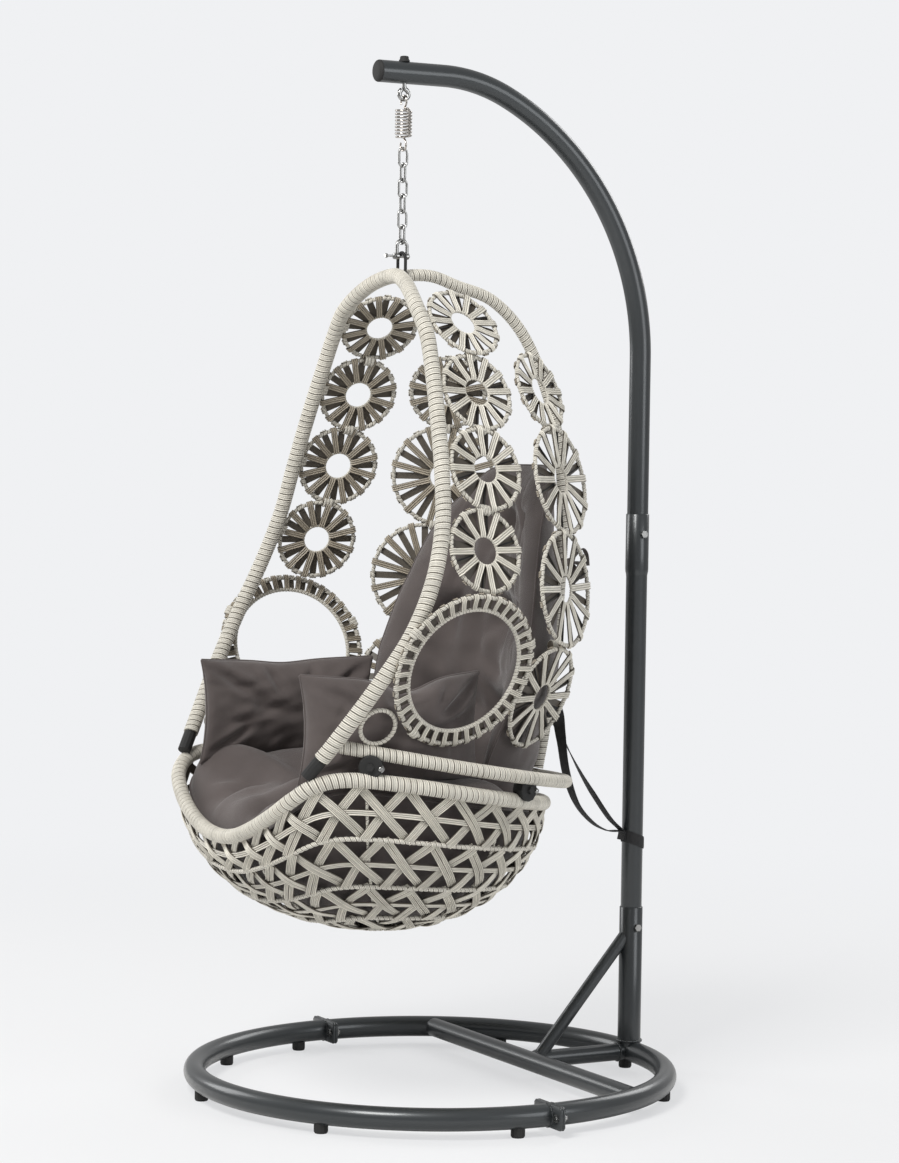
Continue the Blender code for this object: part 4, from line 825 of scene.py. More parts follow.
# --- stand ---
@dataclass
class Stand:
    """Ring base, post, arm and their fittings."""
    ring_radius: float = 0.454
    ring_height: float = 0.036
    tube: float = 0.021
    cross_y: float = 0.218
    cross_tube: float = 0.019
    spine_tube: float = 0.017
    post_y: float = 0.452
    hook_y: float = -0.086
    arm_height: float = 1.944856
    socket: float = 0.023
    lower_socket_top: float = 0.327
    upper_socket_top: float = 1.111
    socket_length: float = 0.116
    straight_top: float = 1.420
    wide_bend: float = 0.545
    wide_angle: float = 65.0
    tight_bend: float = 0.330
    overhang: float = 0.053
    brace_tube: float = 0.0125
    brace_top: float = 0.285
    plate: Triple = (0.048, 0.005, 0.0215)
    plate_cut: float = 0.005
    half_gap: float = 0.0026
    lip: float = 0.0012
    pole_play: float = 0.0003

    def build(self) -> None:
        """Make every piece of the stand."""
        self.ring()
        self.bars()
        self.posts()
        self.arm()

    def ring(self) -> None:
        """Two half rings with their flange plates and weld beads."""
        for name, facing in (("base_front_arc", -1), ("base_rear_arc", 1)):
            gap = math.degrees(self.half_gap / self.ring_radius)
            angle = np.radians(np.linspace(facing * gap, facing * (180 - gap), 181))
            path = np.stack([self.ring_radius * np.cos(angle), self.ring_radius * np.sin(angle),
                             np.full(len(angle), self.ring_height)], 1)
            body = swept(path, self.tube, (0, 0, 1), 40)
            for side in (1, -1):
                body.join(self.flange(side, facing))
                body.join(self.weld((side * self.ring_radius, facing * 0.0058,
                                     self.ring_height), (0, facing, 0), self.tube))
            body.placed(name + "_tube", COAT, Rides.STAND, [name])

    def flange(self, side: int, facing: int) -> Body:
        """Chamfered plate, its edges eased: the outline is offset inwards at both faces.

        Args:
            side: 1 on the right, -1 on the left.
            facing: 1 for the rear half ring, -1 for the front one.

        Returns:
            The piece.
        """
        wide, thick, high = self.plate
        cut = self.plate_cut
        corners = np.array([(-wide, -high + cut), (-wide + cut, -high), (wide - cut, -high),
                            (wide, -high + cut), (wide, high - cut), (wide - cut, high),
                            (-wide + cut, high), (-wide, high - cut)])
        rows = []
        for y, ease in ((0.00015, 0.0008), (0.0009, 0.0), (thick - 0.0008, 0.0), (thick, 0.0008)):
            flat = corners * (1 - ease / np.array((wide, high)))
            rows.append(np.stack([side * self.ring_radius + flat[:, 0],
                                  np.full(8, facing * y), self.ring_height + flat[:, 1]], 1))
        points = np.array(rows)[::-facing]
        return Body().add(points, quads(4, 8), [range(7, -1, -1), range(24, 32)])

    @staticmethod
    def weld(place: Sequence, axis: Sequence, radius: float, size: float = 0.0017) -> Body:
        """Weld bead round a tube: a thin ring whose thickness ripples along it.

        Args:
            place: Middle of the ring.
            axis: Axis of the tube.
            radius: Radius of the tube.
            size: Half the bead's thickness.

        Returns:
            The piece.
        """
        axis = unit(np.asarray(axis, float))
        one = aside(axis)
        turn = np.arange(96)[:, None] * TAU / 96
        ring = np.asarray(place, float) + radius * (np.cos(turn) * one
                                                    + np.sin(turn) * np.cross(axis, one))
        ripple = size * (1 + 0.16 * np.sin(24 * turn[:, 0]))
        return swept(ring, ripple, axis, 8, closed=True)

    def bars(self) -> None:
        """Cross bar, spine bar and brace, each run a little into what it is welded to."""
        half = math.sqrt(self.ring_radius ** 2 - self.cross_y ** 2) - 0.012
        z = self.ring_height
        self.bar("cross_bar", (-half, self.cross_y, z), (half, self.cross_y, z), self.cross_tube,
                 (0, 0, 1))
        self.bar("spine_bar", (0, self.cross_y + 0.012, z), (0, self.ring_radius - 0.012, z),
                 self.spine_tube, (0, 0, 1))
        foot = np.array((0, self.cross_y + 0.0204, z))
        head = np.array((0, self.post_y, self.brace_top))
        way = unit(head - foot)
        self.bar("brace_strut", tuple(foot + way * 0.010), tuple(head - way * 0.012),
                 self.brace_tube, (1, 0, 0))

    def bar(self, name: str, start: Triple, end: Triple, radius: float, reference: Triple
            ) -> None:
        """Straight tube between two places.

        Args:
            name: Node that it stands for.
            start: One end.
            end: Other end.
            radius: Radius of the tube.
            reference: Direction it never runs along.
        """
        swept(np.linspace(start, end, 24), radius, reference, 36).placed(
            name + "_tube", COAT, Rides.STAND, [name])

    def posts(self) -> None:
        """Lower socket and the mid pole with its swaged socket."""
        base = (0, self.post_y, 0)
        low, top, lip = self.ring_height + 0.010, self.lower_socket_top, self.lip
        rows = [(low, self.socket), (top - lip, self.socket), (top, self.socket - lip),
                (top, self.tube + self.pole_play)]
        lathed(base, (0, 0, 1), rows, 48).placed("lower_post_tube", COAT, Rides.STAND,
                                                 ["lower_post"])
        shoulder = self.upper_socket_top - self.socket_length
        top = self.upper_socket_top
        rows = [(self.lower_socket_top - 0.02, self.tube), (shoulder - 0.008, self.tube),
                (shoulder - 0.003, self.tube + 0.0006), (shoulder + 0.001, self.socket - 0.0004),
                (shoulder + 0.006, self.socket), (top - lip, self.socket),
                (top, self.socket - lip), (top, self.tube + self.pole_play)]
        lathed(base, (0, 0, 1), rows, 48).placed("mid_pole_tube", COAT, Rides.STAND,
                                                 ["mid_pole"])
        beads = self.weld((0, self.post_y, low + 0.012), (0, 0, 1), self.socket, 0.003)
        beads.join(self.weld((0, self.post_y - 0.028, self.ring_height), (0, 1, 0),
                             self.spine_tube, 0.0024))
        beads.join(self.weld((0, self.cross_y + 0.0195, self.ring_height), (0, 1, 0),
                             self.spine_tube, 0.0022))
        beads.placed("weld_beads", COAT, Rides.STAND)

    def arm(self) -> None:
        """Upper pole: straight, long bend, tight bend, straight tip, and its end plug."""
        start = self.upper_socket_top - 0.03
        centre_y = self.post_y - self.wide_bend
        wide = np.radians(np.linspace(0, self.wide_angle, 60))
        tight = np.radians(np.linspace(self.wide_angle, 90, 30))[1:]
        knee_y = centre_y + self.wide_bend * math.cos(wide[-1])
        knee_z = self.straight_top + self.wide_bend * math.sin(wide[-1])
        y = np.r_[self.post_y, self.post_y, centre_y + self.wide_bend * np.cos(wide[1:]),
                  knee_y + self.tight_bend * (np.cos(tight) - math.cos(wide[-1])),
                  self.hook_y - self.overhang]
        z = np.r_[start, self.straight_top, self.straight_top
                  + self.wide_bend * np.sin(wide[1:]),
                  knee_z + self.tight_bend * (np.sin(tight) - math.sin(wide[-1])),
                  self.arm_height]
        path = even(np.stack([0 * y, y, z], 1), 0.006)
        swept(path, self.tube, (1, 0, 0), 44).placed("upper_arc_pole_tube", COAT, Rides.STAND,
                                                     ["upper_arc_pole"])
        tip = self.hook_y - self.overhang
        rows = [(out, self.tube * share) for out, share in (
            (0.0, 0.9), (0.0182, 1.0), (0.0200, 1.0), (0.0222, 0.955), (0.0240, 0.85),
            (0.0252, 0.66), (0.0258, 0.40), (0.0260, 0.10))]
        lathed((0, tip + 0.0182, self.arm_height), (0, -1, 0), rows, 44).placed(
            "arm_end_cap", PLASTIC, Rides.STAND, ["arm_end_plug"])


# --- suspension ---
@dataclass
class Suspension:
    """Eye bolt, spring, chain, shackle and the chair's hanging loop."""
    y: float = -0.086
    arm_height: float = 1.944856
    arm_tube: float = 0.021
    eye_height: float = 1.904356
    eye_loop: float = 0.0095
    eye_wire: float = 0.0045
    spring_top: float = 1.901656
    spring_bottom: float = 1.797856
    spring_wire: float = 0.002
    coil: float = 0.0145
    turns: int = 9
    pitch: float = 0.0062
    hook: float = 0.0110
    link_top: float = 1.802656
    link_step: float = 0.0292
    link_span: float = 0.0345
    link_width: float = 0.0165
    link_wire: float = 0.0025
    shackle_top: float = 1.628456
    shackle_wire: float = 0.0035
    shackle_half: float = 0.0105
    pin_height: float = 1.598456
    pin: float = 0.0035
    chair_height: float = 1.560456

    def build(self) -> None:
        """Make every piece from the arm down to the chair."""
        self.eye()
        self.spring()
        self.chain()
        self.shackle()

    def arc(self, height: float, radius: float, start: float, end: float, plane: float,
            steps: int = 40) -> Array:
        """Part of a circle in an upright plane through the hook's plumb line; 90 is up.

        Args:
            height: Height of the middle.
            radius: Radius.
            start: First angle in degrees.
            end: Last angle in degrees.
            plane: Turn of the plane about the plumb line, from x.
            steps: Points.

        Returns:
            Points of the arc.
        """
        angle = np.radians(np.linspace(start, end, steps))
        flat = radius * np.cos(angle)
        return np.stack([flat * math.cos(plane), self.y + flat * math.sin(plane),
                         height + radius * np.sin(angle)], 1)

    def eye(self) -> None:
        """Eye bolt and its capped nut."""
        top = self.arm_height + self.arm_tube + 0.010
        path = np.vstack([[(0, self.y, top), (0, self.y, self.eye_height + self.eye_loop + 0.010),
                           (0, self.y + 0.0003, self.eye_height + self.eye_loop + 0.004)],
                          self.arc(self.eye_height, self.eye_loop, 78, -235, math.pi / 2)])
        swept(even(path, 0.0012), self.eye_wire, (1, 0, 0), 20).placed(
            "eye_bolt_wire", ZINC, Rides.STAND, ["eye_bolt"])
        low = self.arm_height + self.arm_tube
        rows = [(-0.0006, 0.0105), (0.0022, 0.0105), (0.0030, 0.0098), (0.0046, 0.0086),
                (0.0086, 0.0082), (0.0100, 0.0070), (0.0105, 0.0048)]
        lathed((0, self.y, low), (0, 0, 1), rows, 40).placed("arm_cap_nut", PLASTIC, Rides.STAND,
                                                           ["arm_top_nut"])

    def spring(self) -> None:
        """Coil spring: open hook, coil whose radius grows from and shrinks to the axis, hook."""
        top_centre, low_centre = self.spring_top - self.hook, self.spring_bottom + self.hook
        coil_top = self.spring_top - 2 * self.hook - self.spring_wire
        turn = np.linspace(0, self.turns, self.turns * 36 + 1)
        grow = np.minimum(1, np.minimum((turn + 0.12) / 0.62, (self.turns - turn + 0.12) / 0.62))
        radius = self.coil * np.sin(grow * math.pi / 2)
        coil = np.stack([radius * np.cos(TAU * turn), self.y + radius * np.sin(TAU * turn),
                         coil_top - turn * self.pitch], 1)
        upper = self.arc(top_centre, self.hook, 205, -78, 0.0, 34)
        lower = self.arc(low_centre, self.hook, 78, -205, 0.0, 34)
        path = even(np.vstack([upper, coil, lower]), 0.0012)
        heights = np.interp(path[:, 2], [low_centre, low_centre + 0.012, top_centre - 0.012,
                                         top_centre], [0, 1, 1, 0])[:, None]
        reference = (1 - heights) * np.array((0.0, 1.0, 0.0)) + heights * np.array((0, 0, 1.0))
        body = swept(path, self.spring_wire, reference, 14)
        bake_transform(body.placed("spring_wire", NICKEL, None, ["spring"]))

    def link(self, top: float, span: float, width: float, wire: float, plane: float) -> Body:
        """Oval link: two half rounds joined by straights.

        Args:
            top: Height of the middle line's top.
            span: Its length.
            width: Its width.
            wire: Radius of the wire.
            plane: Turn of the link about the plumb line.

        Returns:
            The piece.
        """
        r = width / 2
        path = np.vstack([self.arc(top - r, r, 0, 180, plane, 18),
                          self.arc(top - span + r, r, 180, 360, plane, 18)])
        return swept(even(np.vstack([path, path[:1]]), 0.0012, closed=True), wire,
                     (-math.sin(plane), math.cos(plane), 0), 16, closed=True)

    def chain(self) -> None:
        """Six links, the first two on the spring's side of the swing."""
        for k in range(6):
            body = self.link(self.link_top - k * self.link_step, self.link_span,
                             self.link_width, self.link_wire, math.pi / 2 * ((k + 1) % 2))
            body.placed("link_%d" % (k + 1), ZINC, Rides.UPPER_LINKS if k < 2 else Rides.CHAIN,
                        ["chain_link_%d" % (k + 1)])

    def shackle(self) -> None:
        """Bow shackle with its ears, the pin with its thumb disc, and the hanging loop."""
        half = self.shackle_half
        path = np.vstack([[(0, self.y + half, self.pin_height)],
                          self.arc(self.shackle_top - half, half, 0, 180, math.pi / 2),
                          [(0, self.y - half, self.pin_height)]])
        body = swept(even(path, 0.001), self.shackle_wire, (1, 0, 0), 20)
        for side in (1, -1):
            rows = [(-0.0035, 0.0052), (-0.0028, 0.0063), (0.0028, 0.0063), (0.0035, 0.0052)]
            body.join(lathed((0, self.y + side * half, self.pin_height), (0, 1, 0), rows, 28))
        body.placed("shackle_bow", ZINC, Rides.CHAIR, ["bow_shackle"])
        shoulder = half + 0.0038
        rows = [(-half - 0.006, 0.0026), (-half - 0.005, self.pin), (shoulder, self.pin)]
        rows += [(shoulder + out, radius) for out, radius in (
            (0, 0.0056), (0.0006, 0.006), (0.0026, 0.006), (0.003, 0.0054), (0.0036, 0.002),
            (0.016, 0.002), (0.0166, 0.0036), (0.0175, 0.0042), (0.0208, 0.0042),
            (0.0218, 0.0034))]
        lathed((0, self.y, self.pin_height), (0, -1, 0), rows, 28).placed(
            "shackle_bar", ZINC, Rides.CHAIR, ["shackle_pin"])
        top = self.pin_height + self.pin + 0.0033
        span = top - self.chair_height + 0.011 + 0.0033
        self.link(top, span, 0.031, 0.003, 0.0).placed("hanging_ring", PLASTIC, Rides.CHAIR,
                                                       ["hanging_loop"])


# --- the egg ---
@dataclass
class Egg:
    """Outlines of the hanging chair, in metres from the place where its loop holds it."""
    place: Triple = (0.0, -0.086, 1.560456)
    rim_shift: float = -0.0173
    rim: tuple = ((0, 0, 0), (.075, -.014, -.017), (.145, -.029, -.060), (.189, -.030, -.110),
                  (.217, -.034, -.160), (.264, -.045, -.260), (.305, -.056, -.360),
                  (.337, -.070, -.460), (.362, -.100, -.560), (.368, -.147, -.660),
                  (.340, -.206, -.760), (.299, -.264, -.856), (.285, -.282, -.884))
    back: tuple = ((.060, .003), (.120, -.014), (.200, -.040), (.270, -.105), (.325, -.215),
                   (.356, -.330), (.364, -.450), (.362, -.560), (.352, -.700), (.336, -.840),
                   (.316, -.948))
    sill: tuple = ((.285, -.262, -.862), (.318, -.170, -.879), (.343, -.040, -.903),
                   (.318, .120, -.930), (.215, .250, -.951), (.090, .307, -.960),
                   (0, .316, -.962))
    bowl: tuple = ((0, .270, -1.001), (.110, .256, -.998), (.215, .200, -.990),
                   (.305, .095, -.972), (.343, -.030, -.951), (.330, -.150, -.931),
                   (.302, -.250, -.921), (.280, -.306, -.931), (.252, -.338, -.957),
                   (.202, -.354, -.990), (.136, -.363, -1.021), (.068, -.366, -1.042),
                   (0, -.366, -1.049))
    bottom: Triple = (0.0, -0.016, -1.238)

    def __post_init__(self) -> None:
        """Work out the dense outlines once."""
        half = np.array(self.rim, float) + (0, self.rim_shift, 0)
        self.rim_line = self.whole(half[::-1], 0.001)
        line = spline(half, 0.002)
        self.rim_rising = line[np.argsort(line[:, 2])]
        points = [(0, self.rim_shift, 0)] + [(0, y, z) for y, z in self.back]
        self.back_line = spline(points, 0.001)
        self.back_rising = self.back_line[np.argsort(self.back_line[:, 2])]
        self.sill_line = self.whole(np.array(self.sill, float), 0.001)
        loop = np.array(self.bowl, float)
        self.bowl_line = spline(np.vstack([loop, (loop[1:-1] * (-1, 1, 1))[::-1]]), 0.001, True)

    @staticmethod
    def whole(half: Array, spacing: float) -> Array:
        """Both sides of an outline whose right half ends on the middle plane."""
        return spline(np.vstack([half, (half[:-1] * (-1, 1, 1))[::-1]]), spacing)

    def world(self, points: Array) -> Array:
        """Points moved to the hanging chair."""
        return points + np.array(self.place)

    def at(self, height: Array, along: Array) -> Array:
        """Point of the shell at a height; along runs from 0 at the rim to 1 at the back.

        The level section is an ellipse, whose widest place lies behind the rim low down.

        Args:
            height: Heights below the loop, negative.
            along: Places from rim to back.

        Returns:
            Points on the right half.
        """
        height, along = np.broadcast_arrays(np.asarray(height, float), np.asarray(along, float))
        rim, back = self.rim_rising, self.back_rising
        width = np.interp(height, rim[:, 2], rim[:, 0])
        belly = np.interp(height, (-0.90, -0.66, -0.50), (0.125, 0.075, 0.0))
        middle = np.interp(height, rim[:, 2], rim[:, 1]) + belly
        depth = np.interp(height, back[:, 2], back[:, 1]) - middle
        start = -np.arcsin(np.minimum(0.95, belly / depth))
        a = start + (math.pi / 2 - start) * along
        return np.stack([width / np.cos(start) * np.cos(a), middle + depth * np.sin(a), height],
                        -1)

    def frame(self, height: Array, along: Array) -> tuple[Array, Array, Array, Array]:
        """Point, outward normal, direction to the back and direction up on the shell.

        Args:
            height: Heights below the loop, negative.
            along: Places from rim to back.

        Returns:
            The four, each shaped as the places.
        """
        height, along = np.asarray(height, float), np.asarray(along, float)
        up = self.at(height + 0.01, along) - self.at(height - 0.01, along)
        back = unit(self.at(height, along + 0.02) - self.at(height, along - 0.02))
        normal = unit(np.cross(back, up))
        normal = np.where(normal[..., :1] < 0, -normal, normal)
        up = np.cross(normal, back)
        return self.at(height, along), normal, back, np.where(up[..., 2:] < 0, -up, up)

    def bowl_at(self, turn: Array, rise: Array) -> Array:
        """Point of the bowl: turn 0 to 1 round the rim from the back, rise 0 to 1 upwards.

        Going up, the way out grows as the sine of the angle and the height as 1 - cosine.

        Args:
            turn: Places round the rim.
            rise: Places up the bowl.

        Returns:
            Points.
        """
        turn, rise = np.broadcast_arrays(np.asarray(turn, float), np.asarray(rise, float))
        loop = self.bowl_line
        where = (turn % 1.0) * len(loop)
        low = where.astype(int) % len(loop)
        share = (where - np.floor(where))[..., None]
        top = loop[low] * (1 - share) + loop[(low + 1) % len(loop)] * share
        a = rise * math.pi / 2
        grow = np.stack([np.sin(a), np.sin(a), 1 - np.cos(a)], -1)
        return np.array(self.bottom) + (top - np.array(self.bottom)) * grow

    def bowl_normal(self, turn: Array, rise: Array) -> Array:
        """Outward normal of the bowl.

        Args:
            turn: Places round the rim.
            rise: Places up the bowl.

        Returns:
            Directions of length one.
        """
        round_it = self.bowl_at(turn + 0.004, rise) - self.bowl_at(turn - 0.004, rise)
        upward = self.bowl_at(turn, rise + 0.01) - self.bowl_at(turn, rise - 0.01)
        normal = unit(np.cross(round_it, upward))
        out = self.bowl_at(turn, rise) - (np.array(self.bottom) + (0, 0, 0.35))
        return np.where((normal * out).sum(-1, keepdims=True) < 0, -normal, normal)


def winding_marks(turns: Array, along: Array) -> Array:
    """Marks of a strand from its winding count: cosine and sine of it, and the length."""
    return np.stack([np.cos(TAU * turns), np.sin(TAU * turns),
                     np.broadcast_to(along, turns.shape)], -1)


def windings(path: Array, closed: bool, pitch: float, sides: int) -> tuple[Array, Array]:
    """Winding count over a tube: it rises by one every pitch and falls by one round the tube.

    On a loop the pitch is set so that the count comes out whole.

    Args:
        path: Middle line of the tube.
        closed: Whether it is a loop.
        pitch: Length of one winding along the tube.
        sides: Points round the tube.

    Returns:
        The count at each point of the surface, and the length along the path as a column.
    """
    along = lengths(path)
    if closed:
        whole = along[-1] + np.linalg.norm(path[0] - path[-1])
        pitch = whole / round(whole / pitch)
    return along[:, None] / pitch - np.arange(sides)[None, :] / sides, along[:, None]


def wound(path: Array, radius: float, reference: Sequence, closed: bool = False,
          pitch: float = 0.012, sides: int = 16) -> Body:
    """Tube wound with three-ridged strand.

    Each ridge stands up by a root of the size of its sine, and a furrow lies between two
    windings.

    Args:
        path: Middle line.
        radius: Radius over the winding.
        reference: Direction the path never runs along.
        closed: Whether it is a loop.
        pitch: Width of a winding.
        sides: Points round the tube.

    Returns:
        The tube.
    """
    turns, along = windings(path, closed, pitch, sides)
    ridge = np.abs(np.sin(3 * math.pi * turns)) ** 0.6
    furrow = np.maximum(0, np.cos(TAU * turns)) ** 12
    size = radius - 0.0006 + 0.0013 * ridge - 0.0016 * furrow
    return swept(path, size, reference, sides, closed, winding_marks(turns, along))


def rope(path: Array, radius: float, reference: Sequence, closed: bool = True,
         pitch: float = 0.009, sides: int = 10) -> Body:
    """Ring wrapped with one round strand: the radius dips between two turns of it.

    Args:
        path: Middle line.
        radius: Radius over the strand.
        reference: Direction the path never runs along.
        closed: Whether it is a loop.
        pitch: Width of a turn.
        sides: Points round the ring.

    Returns:
        The ring.
    """
    turns, along = windings(path, closed, pitch, sides)
    size = radius * (0.66 + 0.36 * np.abs(np.sin(math.pi * turns)) ** 0.6)
    return swept(path, size, reference, sides, closed, winding_marks(turns, along))


@dataclass(frozen=True)
class Tape:
    """Flat strand: its width, thickness, and the points across each of its three ridges."""
    width: float = 0.0115
    thick: float = 0.0034
    fine: int = 2

    def along(self, path: Array, normals: Array, marks_from: float = 0.0) -> Body:
        """Tape along one path, or along many at once.

        Across the top the height is the size of the sine of three half turns; the underside
        is flat.

        Args:
            path: Points, the last axis x, y, z, the one before along the tape.
            normals: Direction of the tape's upper face at each point.
            marks_from: Where the length count of the marks starts.

        Returns:
            The body of all the tapes, ends capped.
        """
        path, normals = np.asarray(path, float), np.asarray(normals, float)
        if path.ndim == 2:
            path, normals = path[None], normals[None]
        count, rows = path.shape[:2]
        across = np.linspace(-1, 1, 3 * self.fine + 1)
        height = self.thick * (0.15 + 0.5 * np.abs(np.sin(1.5 * math.pi * (across + 1))))
        flat = np.r_[across, 0.94, -0.94]
        lift = np.r_[height, -self.thick * 0.4, -self.thick * 0.4]
        tangent = unit(np.gradient(path, axis=1))
        sideways = unit(np.cross(normals, tangent))
        upward = np.cross(tangent, sideways)
        points = (path[:, :, None] + flat[:, None] * (self.width / 2) * sideways[:, :, None]
                  + lift[:, None] * upward[:, :, None])
        wide = len(flat)
        phase = np.broadcast_to((flat + 1) / 2, points.shape[:3])
        step = np.linalg.norm(np.diff(path, axis=1), axis=2)
        run = np.concatenate([np.zeros((count, 1)), np.cumsum(step, axis=1)], 1)
        run = run + marks_from + 0.37 * np.arange(count)[:, None]
        marks = winding_marks(phase, run[:, :, None])
        one = quads(rows, wide)[:, ::-1]
        every = (one[None] + (np.arange(count) * rows * wide)[:, None, None]).reshape(-1, 4)
        caps = []
        for k in range(count):
            first, last = k * rows * wide, (k * rows + rows - 1) * wide
            caps += [range(first, first + wide), range(last + wide - 1, last - 1, -1)]
        return Body().add(points, every, caps, marks)


class Layer(Enum):
    """Front or back layer of a wheel's strands."""
    FRONT = 1
    BACK = -1


@dataclass
class Wheel:
    """Spoked wheel of strands on the shell, made on the right.

    Spokes of one width touch at the hub, run over the outer ring and tuck in round it; a
    second layer behind fills the gaps.
    """
    egg: Egg
    height: float
    along: float
    radius: float
    hub: float = 0.0275
    spokes: int = 12
    ring: float = 0.0042
    hub_ring: float = 0.0026
    jitter: float = 0.028

    def __post_init__(self) -> None:
        """Find the wheel's plane."""
        middle, self.normal, self.back, self.up = self.egg.frame(self.height, self.along)
        self.centre = self.egg.world(middle)

    def circle(self, radius: float, off: float = 0.0) -> Array:
        """Circle in the wheel's plane, or off it along the normal.

        Args:
            radius: Radius.
            off: How far off the plane.

        Returns:
            Its points.
        """
        turn = np.linspace(0, TAU, max(24, round(TAU * radius / 0.0015)), endpoint=False)
        return (self.centre + off * self.normal + radius
                * (np.cos(turn)[:, None] * self.back + np.sin(turn)[:, None] * self.up))

    def layer(self, which: Layer, tape: Tape) -> Body:
        """Spokes of one layer, from the hub out over the ring.

        Args:
            which: Front or back.
            tape: Strand that the spokes are cut from.

        Returns:
            The piece.
        """
        side = which.value
        shift = 0.0 if which is Layer.FRONT else 0.5
        k = np.arange(self.spokes)
        uneven = self.jitter * np.sin(12.9 * k + 400 * self.height + 3 * side)
        turn = ((k + shift) * TAU / self.spokes + uneven)[:, None, None]
        outer = self.radius - self.ring - 0.0006
        r = np.array([self.hub - 0.001, self.hub + 0.004, (self.hub + outer) / 2,
                      outer - 0.007, outer - 0.001, outer + 0.0036, outer + 0.0052])
        off = np.array([0.0008, 0.0030, 0.0034, 0.0044, 0.0056, 0.0034, 0.0004]) * side
        way = np.cos(turn) * self.back + np.sin(turn) * self.up
        path = self.centre + r[None, :, None] * way + off[None, :, None] * self.normal
        tilt = np.array([0, 0, 0, 0, 0.15, 0.9, 1.35])[None, :, None]
        normals = np.cos(tilt) * self.normal * side + np.sin(tilt) * way
        return tape.along(path, normals, self.height)

    def rings(self) -> Body:
        """Outer ring and hub ring.

        Returns:
            The piece.
        """
        body = rope(self.circle(self.radius - self.ring - 0.0006), self.ring, self.normal)
        return body.join(rope(self.circle(self.hub), self.hub_ring, self.normal, pitch=0.007,
                              sides=8))

    def wires(self) -> Body:
        """Thin welded wires behind the spokes.

        Returns:
            The piece.
        """
        body = Body()
        for k in range(6):
            turn = (k + 0.25) * TAU / 6
            way = math.cos(turn) * self.back + math.sin(turn) * self.up
            ends = [self.centre + r * way - 0.0006 * self.normal
                    for r in (self.hub, self.radius - 2 * self.ring)]
            body.join(swept(np.linspace(*ends, 3), 0.0013, self.normal, 6))
        return body


@dataclass
class ArmRing(Wheel):
    """Large open ring at the armrest: two wrapped rings with rungs between them."""
    hub: float = 0.1185
    spokes: int = 34
    hub_ring: float = 0.0042
    jitter: float = 0.012


